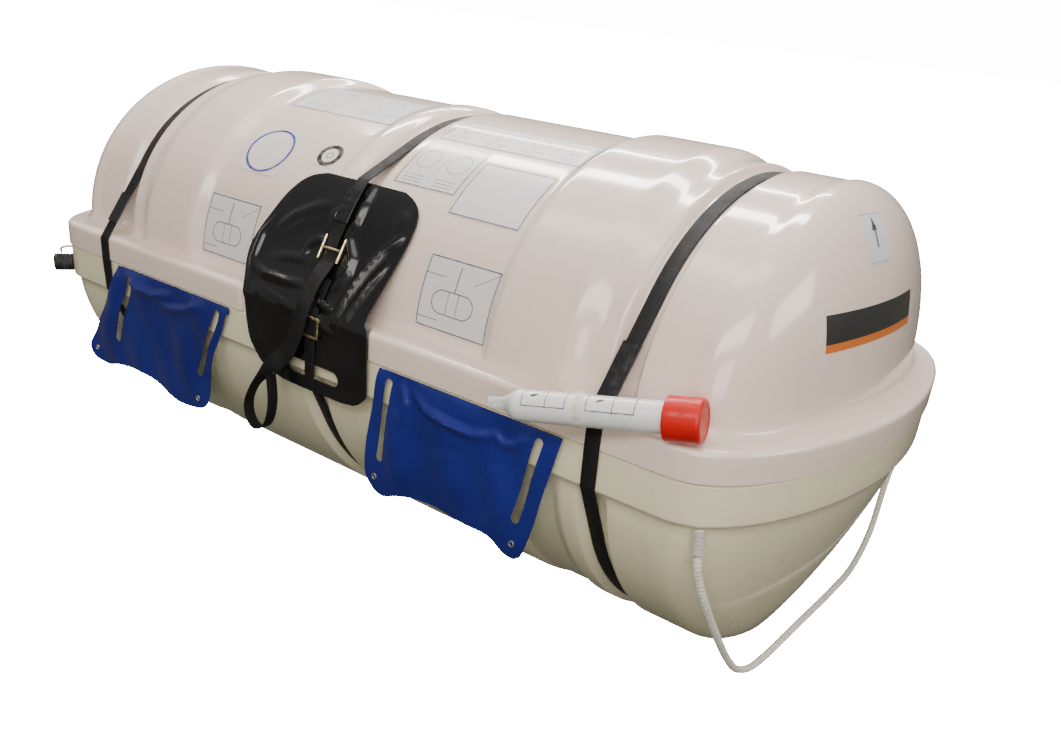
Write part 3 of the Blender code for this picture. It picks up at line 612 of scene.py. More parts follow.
INK, BLUE_INK, BLACK_INK = (0.06, 0.06, 0.10), (0.005, 0.02, 0.30), (0.004, 0.004, 0.005)
PALE, IVORY = (0.74, 0.70, 0.68), (0.78, 0.71, 0.64)
PANELS = (
    ("panel_left", (-0.313, -0.186), (3.4, 23.9), (0.127, 0.108), hung_capsule, PALE, INK),
    ("panel_right", (0.186, 0.317), (3.8, 25.0), (0.131, 0.112), hung_capsule, PALE, INK),
    ("panel_middle", (0.047, 0.169), (42.7, 61.3), (0.122, 0.098), lambda w, h: ruled(w, h, 2), PALE, INK),
    ("panel_upper", (0.177, 0.307), (37.1, 56.8), (0.130, 0.103), framed, PALE, INK),
    ("panel_ridge", (0.052, 0.322), (63.0, 76.0), (0.270, 0.066), lambda w, h: ruled(w, h, 4), PALE, INK),
    ("panel_top", (-0.298, -0.056), (64.0, 84.0), (0.242, 0.102), lambda w, h: ruled(w, h, 2), PALE, INK),
    ("ring_blue", (-0.2885, -0.1875), (34.0, 51.9), (0.101, 0.101), plain_ring(0.0465, 0.0036), IVORY, BLUE_INK),
    ("ring_black", (-0.133, -0.081), (41.6, 50.8), (0.052, 0.052), plain_ring(0.0200, 0.0066, 0.0060), IVORY,
     BLACK_INK),
)
for name, across, rise, (width, height), make_draw, ground, ink in PANELS:
    film(name, across, rise, panel_finish(f"{name}_film", width, height, make_draw(width, height), ground, ink))
arrow_film = panel_finish("arrow_film", 0.052, 0.060, plain_arrow(0.052, 0.060), (0.70, 0.70, 0.73),
                          (0.02, 0.02, 0.025))
film("panel_arrow", (-0.064, -0.010), (0.610, 0.668), arrow_film, end_point)
plate_film = Finish("plate_film", (0.022, 0.022, 0.022), 0.3, Coat_Weight=0.3, Coat_Roughness=0.1)
plate_rise = plate_film.parts(plate_film.uv)[1]
plate_film.feed("Base Color", plate_film.mixed((plate_rise < 0.22) * (plate_rise > 0.0), (0.022, 0.022, 0.022),
                                               (0.62, 0.16, 0.02)))
plate_film.feed("Roughness", 0.26 + plate_film.noise(60, 4, 0.6) * 0.2)
film("end_plate", (-0.170, 0.080), (0.516, 0.562), plate_film, end_point, 40)

# Lower shell: the hull of the canister, from the same ivory mould.
# It has a shoulder for the lid, a raised rim inside it, a band wall and a rounded hull on a narrow keel flat.
BAND_BOTTOM, BAND_INSET, HULL_INSET, GAP = 0.320, 0.003, 0.013, 0.0003
KEEL_LENGTH, KEEL_WIDTH, HULL_TOP, HULL_STEPS = 0.664, 0.045, 0.3135, 34


def hull_curve(z, power):
    """From 0 at the keel to 1 under the band wall."""
    return (1 - (1 - z / BAND_BOTTOM) ** power) ** (1 / power)


def hull_half_width(z):
    return (WIDTH / 2 - HULL_INSET) * hull_curve(z, 1.72)


def hull_half_length(z):
    return KEEL_LENGTH + (LENGTH / 2 - HULL_INSET - KEEL_LENGTH) * hull_curve(z, 1.2)


def lower_rings():
    """The hull's outlines from the rim inside the lid down to the keel flat."""
    shoulder = LIP_BOTTOM - GAP
    rows = [(0.034, 0.405), (0.034, shoulder), (BAND_INSET + 0.003, shoulder), (BAND_INSET, shoulder - 0.003),
            (BAND_INSET, 0.350)]
    rows += [(BAND_INSET + 0.006 * (1 - math.cos(t)), BAND_BOTTOM + 0.006 * (1 - math.sin(t)))
             for t in (math.radians(90 * i / 5) for i in range(6))]
    rings = [ring(LENGTH / 2 - inset, WIDTH / 2 - inset, z) for inset, z in rows]
    for i in range(HULL_STEPS + 1):
        z = HULL_TOP * (1 - i / HULL_STEPS) ** 1.45
        points = ring(hull_half_length(z), max(KEEL_WIDTH, hull_half_width(z)), z)
        for p in points:
            if abs(p.x) < BODY_END:
                relief = hull_relief(p.x) * smooth(0.0, 0.03, BAND_BOTTOM - z)
                out = Vector((p.y, p.z - BAND_BOTTOM)).normalized()
                p.y += out.x * relief
                p.z += out.y * relief
        rings.append(points)
    return rings


def capped(made, sharp=35, below=9.0):
    """Fills the open ends of a skin that lie below a height with flat faces."""
    bm = bmesh.new()
    bm.from_mesh(made.data)
    rim = [e for e in bm.edges if e.is_boundary and max(v.co.z for v in e.verts) < below]
    bmesh.ops.triangle_fill(bm, edges=rim, use_beauty=True)
    bm.to_mesh(made.data)
    bm.free()
    closed(made, sharp)
    return made


# The hull's copy of the ivory gelcoat is tinted olive. The tint is painted reflected light from the olive floor over
# the gelcoat's own ivory.
ivory_with_painted_floor_tint = gelcoat("ivory_gelcoat_hull_painted_floor_tint", (0.82, 0.76, 0.53), (0.76, 0.705, 0.47))
lower_section = lower_rings()
hull = capped(loft("hull", lower_section, ivory_with_painted_floor_tint), below=0.001)
fitted(walled(hull, WALL), "lower_half", "gelcoat", "lower_shell")

# The raft: folded and rolled tight inside the canister, of grey coated fabric with soft creases.
# Only the lifted lid shows it.
fabric = Finish("packed_fabric", (0.55, 0.17, 0.03), 0.7, Sheen_Weight=0.1)
# Lighter and darker grey patches are painted on as the light and shade of folds.
painted_fold_light_and_shade = fabric.noise(9, 4, 0.6)
fabric.feed("Base Color", fabric.mixed(painted_fold_light_and_shade.spread(0.35, 0.65), (0.26, 0.27, 0.29), (0.36, 0.37, 0.39)))
fabric.relief((fabric.noise(16, 5, 0.65, fabric.stretched(fabric.place, (0.4, 1, 1))), 0.5, 0.02),
              (fabric.noise(700, 2), 0.2, 0.0006))
BUNDLE_RISE = 0.246
bundle_rings = []
for z in (0.0608, 0.0888, 0.1288, 0.1688, 0.220, 0.280):
    bundle_rings.append(ring(max(BODY_END + 0.005, hull_half_length(z) - 0.041), hull_half_width(z) - 0.0392, z))
inner_length, inner_width = BASE_LENGTH - 0.028, BASE_WIDTH - 0.026
bundle_rings.append(ring(inner_length - 0.01, inner_width - 0.008, 0.350))
for turn in range(2, 91, 8):
    turn = math.radians(turn)
    rise = math.sin(turn)
    bundle_rings.append(ring(BODY_END + dome_depth(rise, inner_length), inner_width * math.cos(turn),
                             LIP_TOP + BUNDLE_RISE * rise))
for row in bundle_rings:
    for p in row:
        fold = (math.sin(p.x * 41 + 2 * math.sin(p.z * 9)) + math.sin(p.x * 17 + p.y * 12 + p.z * 26)
                + 0.6 * math.sin(p.z * 95 + 3 * math.sin(p.x * 5)))
        p.y *= 1 - 0.008 * (1 + fold / 2.6)
        p.z = 0.30 + (p.z - 0.30) * (1 - 0.010 * (1 + fold / 2.6))
bundle = capped(loft("raft_bundle", bundle_rings, fabric), 60)
fitted(bundle, "lower_half", "packed_fabric", "packed_raft")

# Side bands: black polyester webbing, nearly 25 mm wide, pulled taut round the canister and over the lip.
# A shrunk sleeve covers each one's join on the front. Each band parts at the seam.
STRAP_WIDTH, STRAP_THICK, BAND_GAP = 0.0235, 0.002, 0.0006


def outline_at(x):
    """Points of the two shells in the plane at x, as (y, z)."""
    near = min(range(len(STATIONS)), key=lambda k: abs(STATIONS[k] - x))
    mate = 2 * len(STATIONS) + END_STEPS * 2 - 2 - near
    return [(row[k].y, row[k].z) for row in upper_section + lower_section for k in (near, mate)]


def hull_of(points):
    """The path of a taut band round the points, counter-clockwise."""
    points = sorted(set((round(a, 6), round(b, 6)) for a, b in points))
    halves = []
    for run in (points, points[::-1]):
        half = []
        for p in run:
            while len(half) > 1:
                (ax, ay), (bx, by) = half[-2], half[-1]
                if (bx - ax) * (p[1] - ay) - (by - ay) * (p[0] - ax) > 1e-9:
                    break
                half.pop()
            half.append(p)
        halves += half[:-1]
    return halves


def grown(outline, distance):
    """A closed counter-clockwise path moved outwards."""
    moved = []
    for a, b, c in zip(outline[-1:] + outline[:-1], outline, outline[1:] + outline[:1]):
        a, b, c = Vector(a), Vector(b), Vector(c)
        first = Vector(((b - a).y, -(b - a).x)).normalized()
        second = Vector(((c - b).y, -(c - b).x)).normalized()
        middle = (first + second).normalized()
        moved.append(b + middle * (distance / max(0.5, middle.dot(first))))
    return moved


def crossing(a, b, z):
    return a.lerp(b, (z - a.y) / (b.y - a.y))


def run_over(path, z, above=True):
    """The open run of a closed path on one side of height z, from the back over to the front."""
    keep = [(p.y > z) == above for p in path]
    start = next(i for i in range(len(path)) if keep[i] and not keep[i - 1])
    run = [path[start - 1]]
    for k in range(len(path)):
        run.append(path[(start + k) % len(path)])
        if not keep[(start + k) % len(path)]:
            break
    return [crossing(run[0], run[1], z)] + run[1:-1] + [crossing(run[-2], run[-1], z)]


def front_run(path, top, bottom):
    """The front stretch of a closed path between two heights, from the top down."""
    run = run_over(path, bottom)[::-1]
    found = [run[0]]
    for a, b in zip(run, run[1:]):
        if b.y > top:
            found.append(crossing(a, b, top))
            break
        found.append(b)
    return found[::-1]


def spaced(line, step):
    """The line with points no further apart than step."""
    found = [line[0]]
    for a, b in zip(line, line[1:]):
        count = max(1, math.ceil((b - a).length / step))
        found += [a.lerp(b, k / count) for k in range(1, count + 1)]
    return found


def webbing(name, stops, thick, finish):
    """Webbing along stops of (centre, half of its width), with rounded edges.
    Its UV map runs across it from 0 to 1, and along it in metres."""
    across = [(-1, 0), (-0.97, 0.72), (-0.88, 1), (0.88, 1), (0.97, 0.72), (1, 0), (0.97, -0.72), (0.88, -1),
              (-0.88, -1), (-0.97, -0.72), (-1, 0)]
    points, uvs, gone = [], [], 0.0
    for i, (centre, half_width) in enumerate(stops):
        before, after = stops[max(0, i - 1)][0], stops[min(len(stops) - 1, i + 1)][0]
        out = (after - before).cross(half_width).normalized() * (thick / 2)
        gone += (centre - stops[i - 1][0]).length if i else 0.0
        for a, b in across:
            points.append(centre + half_width * a + out * b)
            uvs.append(((a + 1) / 2, gone))
    sides = len(across) - 1
    last = (len(stops) - 1) * (sides + 1)
    faces = grid_faces(len(stops) - 1, sides) + [range(sides)[::-1], range(last, last + sides)]
    return piece(name, points, faces, finish, uvs, 50)


def flat_band(name, line, x, width, thick, finish):
    """Webbing along a (y, z) line at x, its inner face on the line, which runs from the back to the front."""
    line = spaced(line, 0.008)
    stops = []
    for i, p in enumerate(line):
        along = (line[min(i + 1, len(line) - 1)] - line[max(0, i - 1)]).normalized()
        out = Vector((along.y, -along.x)) * (thick / 2)
        if out.dot(p - Vector((0, 0.32))) < 0:
            out = -out
        stops.append((Vector((x, p.x + out.x, p.y + out.y)), Vector((width / 2, 0, 0))))
    return webbing(name, stops, thick, finish)


def woven(name, colour, worn, rib):
    """Black webbing: a ribbed weave with raised, rougher edges, dusty and worn grey on its high places."""
    made = Finish(name, colour, 0.65, Specular_IOR_Level=0.3)
    u, v, _ = made.parts(made.uv)
    ribs = (v / rib).wave(1) * 0.6 + (u * 14).wave(1) * 0.4
    twill = (u * 9 + v / rib * 0.5).wave(1)
    edge = abs(u - 0.5).spread(0.40, 0.47)
    dust = made.noise(30, 5, 0.65).spread(0.45, 0.75)
    made.feed("Base Color", made.mixed(dust * 0.55 + twill.spread(0, 1, 0, 0.15), colour, worn))
    made.feed("Roughness", 0.5 + dust * 0.2 + edge * 0.1)
    made.relief((ribs + twill * 0.3 + edge * 0.8, 0.55, 0.0005), (made.noise(1200, 2), 0.2, 0.0002))
    return made


black_webbing = woven("black_webbing", (0.004, 0.004, 0.0045), (0.018, 0.017, 0.017), 0.0016)
shrink = Finish("sleeve_rubber", (0.008, 0.008, 0.009), 0.4)
shrink_across = shrink.parts(shrink.uv)[0]
rubbed = shrink.noise(120, 4, 0.7).spread(0.45, 0.7)
shrink.feed("Base Color", shrink.mixed(rubbed * 0.45, (0.005, 0.005, 0.006), (0.030, 0.030, 0.031)))
shrink.feed("Roughness", 0.32 + rubbed * 0.3)
shrink.relief((shrink.noise(60, 4, 0.6), 0.35, 0.002), (abs(shrink_across - 0.5).spread(0.3, 0.5), 0.4, 0.0008))
OVER_BAND, SLEEVE_WIDTH, SLEEVE_THICK = BAND_GAP + STRAP_THICK + GAP, STRAP_WIDTH + 0.005, 0.0015
for side, x, top, bottom in (("right", STRAP_X, 0.505, 0.442), ("left", -STRAP_X, 0.492, 0.446)):
    taut = hull_of(outline_at(x))
    path = grown(taut, BAND_GAP)
    over = flat_band(f"band_{side}_top", run_over(path, LIP_BOTTOM), x, STRAP_WIDTH, STRAP_THICK, black_webbing)
    under = flat_band(f"band_{side}_under", run_over(path, LIP_BOTTOM - GAP, False), x, STRAP_WIDTH, STRAP_THICK,
                      black_webbing)
    fitted(over, "upper_half", "webbing", f"band_{side}_upper")
    fitted(under, "lower_half", "webbing", f"band_{side}_lower")
    sleeve = flat_band(f"shrunk_sleeve_{side}", front_run(grown(taut, OVER_BAND), top, bottom), x, SLEEVE_WIDTH,
                       SLEEVE_THICK, shrink)
    fitted(sleeve, "upper_half", "rubber", f"sleeve_{side}")

# Pad: a sheet of glossy black vinyl that hangs from under the centre band over the seam and keeps water out.
# It is creased where the buckle pinches it, and its lower slot is a handhold.
PAD_TOP, PAD_BOTTOM, PAD_THICK, PAD_CLEAR, VINYL_THICK = 0.600, 0.300, 0.004, 0.0055, 0.0022
PAD_FLAT, HANDHOLD_WIDTH = (0.311, 0.345), 0.023
PAD_LEFT = [(0.300, -0.040), (0.304, -0.073), (0.314, -0.098), (0.343, -0.124), (0.374, -0.132), (0.405, -0.138),
            (0.430, -0.150), (0.480, -0.168), (0.540, -0.146), (0.575, -0.126), (0.592, -0.105), (0.600, -0.075)]
PAD_RIGHT = [(0.300, 0.090), (0.304, 0.117), (0.315, 0.134), (0.333, 0.142), (0.414, 0.139), (0.430, 0.126),
             (0.480, 0.133), (0.540, 0.143), (0.572, 0.140), (0.590, 0.122), (0.600, 0.092)]
pad_points = []
for near, station in enumerate(STATIONS):
    if abs(station - NOTCH_X) < NOTCH_HALF + 0.025:
        pad_points += [(row[near].y, row[near].z) for row in upper_section]
        pad_points += [(row[near].y - PAD_CLEAR, row[near].z) for row in lower_section]
pad_points += [(0.3, 0.0), (0.3, 0.6), (BAND_INSET - PAD_CLEAR - WIDTH / 2, PAD_BOTTOM - 0.02)]
pad_hull = hull_of(pad_points)


def pad_line(distance, top=PAD_TOP, bottom=PAD_BOTTOM):
    """The (y, z) line over the pad's back at a distance, from the top down."""
    return front_run(grown(pad_hull, 0.0008 + distance), top, bottom)


def near_crease(x, z, route, wide, high):
    """Height of a crease that follows a route of (x, z) places and dies away at its ends."""
    best, along = np.full(x.shape, 9.0), np.zeros(x.shape)
    total = sum(math.dist(a, b) for a, b in zip(route, route[1:]))
    gone = 0.0
    for (ax, az), (bx, bz) in zip(route, route[1:]):
        length = math.dist((ax, az), (bx, bz))
        t = np.clip(((x - ax) * (bx - ax) + (z - az) * (bz - az)) / length**2, 0, 1)
        far = np.hypot(x - ax - t * (bx - ax), z - az - t * (bz - az))
        along = np.where(far < best, (gone + t * length) / total, along)
        best = np.minimum(best, far)
        gone += length
    fade = np.clip(np.sin(np.pi * np.clip(along, 0.02, 0.98)), 0, 1) ** 0.6
    return high * fade * np.exp(-((best / wide) ** 2))


# Each crease is its route of (x, z) places, its width and its height.
CREASES = [
    ([(0.030, 0.597), (0.036, 0.575), (0.034, 0.548), (0.022, 0.528)], 0.0050, 0.0080),
    ([(0.020, 0.528), (0.040, 0.518), (0.056, 0.502), (0.058, 0.484), (0.048, 0.466), (0.034, 0.452)], 0.0055,
     0.0085),
    ([(-0.010, 0.516), (-0.028, 0.514), (-0.042, 0.502), (-0.046, 0.486)], 0.0050, 0.0070),
    ([(-0.022, 0.562), (-0.060, 0.552), (-0.095, 0.536), (-0.128, 0.508)], 0.0085, 0.0055),
    ([(-0.030, 0.545), (-0.075, 0.528), (-0.110, 0.505)], 0.0060, 0.0035),
    ([(-0.006, 0.560), (-0.016, 0.552), (-0.010, 0.540)], 0.0055, 0.0055),
    ([(-0.018, 0.484), (-0.060, 0.482), (-0.110, 0.474)], 0.0060, 0.0045),
    ([(-0.016, 0.452), (-0.060, 0.448), (-0.110, 0.448), (-0.145, 0.458)], 0.0050, 0.0085),
    ([(-0.132, 0.530), (-0.150, 0.500), (-0.150, 0.465), (-0.138, 0.440)], 0.0060, 0.0050),
    ([(0.004, 0.462), (0.010, 0.446), (0.028, 0.434), (0.052, 0.432), (0.060, 0.440)], 0.0055, 0.0090),
    ([(-0.126, 0.430), (-0.070, 0.424), (-0.012, 0.414)], 0.0040, 0.0040),
    ([(-0.126, 0.426), (-0.080, 0.416), (-0.030, 0.410)], 0.0035, 0.0030),
    ([(0.018, 0.420), (0.046, 0.410), (0.072, 0.398)], 0.0045, 0.0060),
    ([(0.104, 0.580), (0.116, 0.560), (0.120, 0.540)], 0.0120, 0.0030),
    ([(0.064, 0.410), (0.072, 0.450), (0.088, 0.490), (0.108, 0.525), (0.134, 0.552)], 0.0055, 0.0090),
    ([(0.082, 0.405), (0.092, 0.440), (0.108, 0.480), (0.126, 0.515)], 0.0050, 0.0060),
    ([(-0.10, 0.38), (-0.06, 0.345), (-0.02, 0.31)], 0.020, 0.0020),
    ([(0.05, 0.38), (0.08, 0.345), (0.11, 0.31)], 0.020, 0.0020),
]
vinyl = Finish("black_vinyl", (0.006, 0.006, 0.0065), 0.2, Coat_Weight=0.2, Coat_Roughness=0.1)
marks = vinyl.noise(9, 3, 0.5).spread(0.45, 0.7)
vinyl.feed("Base Color", vinyl.mixed(marks, (0.0035, 0.0035, 0.004), (0.007, 0.007, 0.0075)))
vinyl.feed("Roughness", 0.24 + marks * 0.06)
vinyl.relief((vinyl.noise(14, 3, 0.5), 0.10, 0.006), (vinyl.noise(900, 2), 0.04, 0.0003))


def smoothed(table):
    """Heights and edges of a hanging sheet on a smooth curve, as two rising arrays."""
    route = smooth_route([(edge, 0, z) for z, edge in table], 0.004)
    heights = np.maximum.accumulate([p.z for p in route])
    return heights, np.array([p.x for p in route])


def front_sheet(name, points, uvs, rows, columns, finish):
    """The face of a sheet that hangs on the front, from a grid of points."""
    made = piece(name, points, grid_faces(rows, columns), finish, uvs, 180)
    if sum((f.normal * f.area for f in made.data.polygons), Vector()).y > 0:
        made.data.flip_normals()
    return made


def face_area(made):
    return sum(f.area for f in made.data.polygons)


def thickened(made, thick):
    """A sheet given its thickness outwards from its back."""
    skin = made.modifiers.new("thickness", "SOLIDIFY")
    skin.thickness = thick
    skin.offset = 1
    return settled(made)


def hanging(name, line, left, right, columns, finish, lift):
    """The face of a sheet down a (y, z) line, from the top, between edges given by height.
    lift is how far it stands off at x and z."""
    (left_z, left_x), (right_z, right_x) = left, right
    out_of = ways_out(line)
    y, z = np.array([p.x for p in line]), np.array([p.y for p in line])
    low, high = np.interp(z, left_z, left_x), np.interp(z, right_z, right_x)
    u = np.linspace(0, 1, columns + 1)
    xs = low[:, None] + (high - low)[:, None] * u[None, :]
    zs = np.repeat(z[:, None], columns + 1, 1)
    rise = lift(xs, zs)
    outer = np.stack([xs, y[:, None] + out_of[:, 0:1] * rise, zs + out_of[:, 1:2] * rise], -1)
    gone = np.concatenate([[0], np.cumsum(np.hypot(np.diff(y), np.diff(z)))])
    uvs = [(float(a), float(b)) for b, row in zip(gone, xs) for a in row]
    return front_sheet(name, [tuple(p) for p in outer.reshape(-1, 3)], uvs, len(line) - 1, columns, finish)


def ways_out(line):
    """The way out at each stop of a line that runs down the front."""
    found = []
    for i in range(len(line)):
        along = (line[min(i + 1, len(line) - 1)] - line[max(0, i - 1)]).normalized()
        found.append((along.y, -along.x) if along.y < 0 else (-along.y, along.x))
    return np.array(found)


def rounded_bar(name, start, end, width):
    """A cutter with round ends between two (x, z) places, through whatever hangs on the front."""
    a, b = Vector((start[0], 0, start[1])), Vector((end[0], 0, end[1]))
    along = (b - a).normalized()
    side = Vector((along.z, 0, -along.x)) * (width / 2)
    outline = []
    for centre, sign in ((a, -1), (b, 1)):
        for k in range(13):
            angle = math.pi * k / 12
            outline.append(centre + side * (sign * math.cos(angle)) + along * (sign * width / 2 * math.sin(angle)))
    count = len(outline)
    points = [p + Vector((0, y, 0)) for y in (-0.45, -0.33) for p in outline]
    faces = [range(count), range(count, 2 * count)]
    faces += [(k, (k + 1) % count, count + (k + 1) % count, count + k) for k in range(count)]
    return piece(name, points, faces, vinyl)


def cut_away(made, cutter):
    """Cuts the cutter out of the piece and removes it."""
    cut = made.modifiers.new("cut", "BOOLEAN")
    cut.solver = "EXACT"
    cut.object = cutter
    settled(made, 50)
    bpy.data.objects.remove(cutter)
    return made


def pad_lift(x, z):
    """How far the vinyl stands off: creases and soft billows, pinched flat under the buckle."""
    rise = sum(near_crease(x, z, route, wide, high) for route, wide, high in CREASES)
    billow = 0.0012 * (np.sin(x * 31 + 1.3) * np.sin(z * 24 + 0.4) + 1)
    pinch = np.exp(-(((x - 0.008) / 0.020) ** 2 + ((z - 0.508) / 0.05) ** 2))
    upper_edge = np.clip((PAD_TOP - z) / 0.03, 0, 1)
    return (rise + np.maximum(billow, 0)) * (1 - 0.85 * pinch) * (0.3 + 0.7 * upper_edge)


down_pad = spaced(pad_line(0.0002), 0.0035)
pad = hanging("pad_sheet", down_pad, smoothed(PAD_LEFT), smoothed(PAD_RIGHT), 84, vinyl, pad_lift)
thickened(pad, VINYL_THICK)
cut_away(pad, rounded_bar("handhold", (-0.017, 0.3325), (0.072, 0.3325), HANDHOLD_WIDTH))
fitted(pad, "upper_half", "black_sheet", "painter_pad")

# Centre band: the same webbing over the dome and the pad to a brass buckle. Below the pad it goes on round
# the hull. A worn sleeve covers its join above the buckle.
BUCKLE_X, BUCKLE_Z, BAR, OVER_PAD = 0.009, 0.508, 0.0022, 0.0006
pad_front = [(p.x, p.y) for p in pad_line(PAD_THICK + GAP, PAD_TOP + 0.004)]
centre_taut = hull_of(outline_at(CENTRE_X) + pad_front)
centre_run = run_over(grown(centre_taut, BAND_GAP + OVER_PAD), LIP_BOTTOM)
band_end = BUCKLE_Z + BAR + OVER_PAD
stop = next(i for i, p in enumerate(centre_run) if p.x < 0 and p.y < band_end)
centre_run = centre_run[:stop] + [crossing(centre_run[stop - 1], centre_run[stop], band_end)]
centre_over = flat_band("band_centre_top", centre_run, CENTRE_X, STRAP_WIDTH, STRAP_THICK, black_webbing)
fitted(centre_over, "upper_half", "webbing", "band_centre_upper")
centre_low = run_over(grown(hull_of(outline_at(CENTRE_X)), BAND_GAP), LIP_BOTTOM - GAP, False)
centre_low = [p for p in spaced(centre_low, 0.004) if p.x > 0 or p.y < PAD_BOTTOM - 0.004]
centre_under = flat_band("band_centre_under", centre_low, CENTRE_X, STRAP_WIDTH, STRAP_THICK, black_webbing)
fitted(centre_under, "lower_half", "webbing", "band_centre_lower")
centre_sleeve = flat_band("shrunk_sleeve_centre", front_run(grown(centre_taut, OVER_BAND + OVER_PAD), 0.592, 0.548),
                          CENTRE_X, SLEEVE_WIDTH, SLEEVE_THICK, shrink)
fitted(centre_sleeve, "upper_half", "rubber", "sleeve_centre")

# Buckles: brass. The large one is two side bars and a middle bar, which the band and its tail fold round.
# The small one is a flat frame lower down, on the narrow front strap.
brass = Finish("brass", (0.83, 0.66, 0.36), 0.24, 1.0)
tarnish = brass.noise(160, 4, 0.65).spread(0.42, 0.7)
brass.feed("Base Color", brass.mixed(tarnish * 0.6, (0.88, 0.72, 0.42), (0.42, 0.29, 0.13)))
brass.feed("Roughness", 0.2 + tarnish * 0.3)
brass.relief((brass.noise(500, 3), 0.1, 0.0003))


def face_point(x, z, distance):
    """A place at a distance over the pad's outer face."""
    line = pad_line(PAD_THICK + distance)
    for a, b in zip(line, line[1:]):
        if b.y <= z:
            break
    p = crossing(a, b, z)
    return Vector((x, p.x, z))


def face_normal(z):
    """The way out of the pad's face at a height."""
    along = (face_point(0, z + 0.004, 0) - face_point(0, z - 0.004, 0)).normalized()
    return Vector((0, -along.z, along.y))


def rounded_slab(name, centre, z, size, radius, finish, window=None):
    """A flat bar or frame on the pad's face, with rounded edges and an opening if window gives its size."""
    out = face_normal(z)
    turn = Matrix((Vector((1, 0, 0)), out.cross(Vector((1, 0, 0))), out)).transposed()
    loops = [(size[0] / 2, size[1] / 2)] + ([(window[0] / 2, window[1] / 2)] if window else [])
    corner_points = []
    for a, b in loops:
        r = min(radius * 2, a * 0.8, b * 0.8)
        corner_points.append([(sx * (a - r) + r * math.cos(t), sy * (b - r) + r * math.sin(t))
                              for sx, sy, first in ((1, 1, 0), (-1, 1, 90), (-1, -1, 180), (1, -1, 270))
                              for t in (math.radians(first + 15 * k) for k in range(7))])
    count = len(corner_points[0])
    points = [centre + turn @ Vector((x, y, h * size[2] / 2)) for h in (1, -1) for row in corner_points
              for x, y in row]
    bands = [(0, 1), (2, 3), (0, 2), (1, 3)] if window else [(0, 1)]
    faces = [(a * count + k, a * count + (k + 1) % count, b * count + (k + 1) % count, b * count + k)
             for a, b in bands for k in range(count)]
    if not window:
        faces += [range(count), range(count, 2 * count)]
    made = piece(name, points, faces, finish)
    edge = made.modifiers.new("edges", "BEVEL")
    edge.width = radius
    edge.segments = 3
    edge.limit_method = "ANGLE"
    return settled(made, 50)


BAR_HALF, BAR_APART = 0.020, 0.0207


def rounded_ends(gone, turn):
    """A side bar's radius along its length, which rounds off at both ends."""
    past = max(0, abs(gone - BAR_HALF) - (BAR_HALF - BAR))
    return BAR * 1.05 * max(0.05, 1 - past**2 / BAR**2) ** 0.5


buckle_out = face_normal(BUCKLE_Z)
buckle_up = buckle_out.cross(Vector((1, 0, 0)))
middle = face_point(BUCKLE_X, BUCKLE_Z, 0) + buckle_out * (BAR + BAND_GAP + GAP)
bars = [hose("buckle_middle_bar", [middle + Vector((x, 0, 0)) for x in np.linspace(-0.0205, 0.0205, 9)], BAR, brass)]
for side in (-1, 1):
    place = middle + Vector((side * BAR_APART, 0, 0))
    route = [place + buckle_up * t for t in np.linspace(-BAR_HALF, BAR_HALF, 25)]
    bars.append(hose(f"buckle_side_bar_{side}", route, BAR, brass, 20, rounded_ends))
for bar in bars:
    fitted(bar, "upper_half", "brass", "buckle_large")
SMALL_Z, STRAP_FRONT_X, NARROW_WIDTH, NARROW_THICK = 0.402, 0.021, 0.022, 0.0016
small_lift = OVER_PAD + NARROW_THICK + GAP + 0.0015
small_centre = face_point(STRAP_FRONT_X, SMALL_Z, 0) + face_normal(SMALL_Z) * small_lift
small = rounded_slab("buckle_frame_small", small_centre, SMALL_Z, (0.041, 0.033, 0.003), 0.0009, brass,
                     (0.033, 0.025))
fitted(small, "upper_half", "brass", "buckle_small")

# Front strap and tail: a narrow strap lies down the pad under the small buckle.
# The centre band's spare end hangs from the large buckle over it, turns edge on and ends in a sewn loop.
front_strap = flat_band("strap_down_pad", pad_line(PAD_THICK + OVER_PAD, 0.470, PAD_BOTTOM + 0.002), STRAP_FRONT_X,
                        NARROW_WIDTH, NARROW_THICK, black_webbing)
fitted(front_strap, "upper_half", "webbing", "strap_front")
# The tail's places over the pad are x, height and distance from it, and the loop's are x and height.
TAIL = [(0.013, 0.4995, 0.0016), (0.011, 0.485, 0.0060), (0.008, 0.462, 0.0105), (0.008, 0.425, 0.0105),
        (0.001, 0.395, 0.0105), (-0.012, 0.367, 0.0105), (-0.031, 0.342, 0.0105)]
LOOP = [(-0.052, 0.324), (-0.070, 0.303), (-0.089, 0.279), (-0.101, 0.252), (-0.101, 0.230), (-0.090, 0.214),
        (-0.073, 0.212), (-0.056, 0.224), (-0.046, 0.246), (-0.042, 0.270), (-0.043, 0.290), (-0.046, 0.312)]
TAIL_HALF, EDGE_HALF, TURNS_OVER = 0.0148, 0.0100, 0.22
hang = [face_point(*place) for place in TAIL]
turn_starts = route_length(smooth_route(hang, 0.004))
loop_y = hang[-1].y - 0.006
hang += [Vector((x, loop_y - 0.006 * min(1.0, i / 3), z)) for i, (x, z) in enumerate(LOOP)]
tail_route = smooth_route(hang, 0.004)
tail_length = route_length(tail_route)
turn_starts /= tail_length
stops, gone = [], 0.0
for i, p in enumerate(tail_route):
    gone += (p - tail_route[i - 1]).length / tail_length if i else 0
    along = (tail_route[min(i + 1, len(tail_route) - 1)] - tail_route[max(0, i - 1)]).normalized()
    z = min(PAD_TOP - 0.01, max(PAD_BOTTOM + 0.01, p.z))
    flat = along.cross(face_normal(z)).normalized() * TAIL_HALF
    edge_on = Vector((0, EDGE_HALF if flat.y > 0 else -EDGE_HALF, 0))
    stops.append((p, flat.lerp(edge_on, smooth(turn_starts, turn_starts + TURNS_OVER, gone))))
fitted(webbing("tail_strap", stops, 0.0018, black_webbing), "upper_half", "webbing", "band_tail")

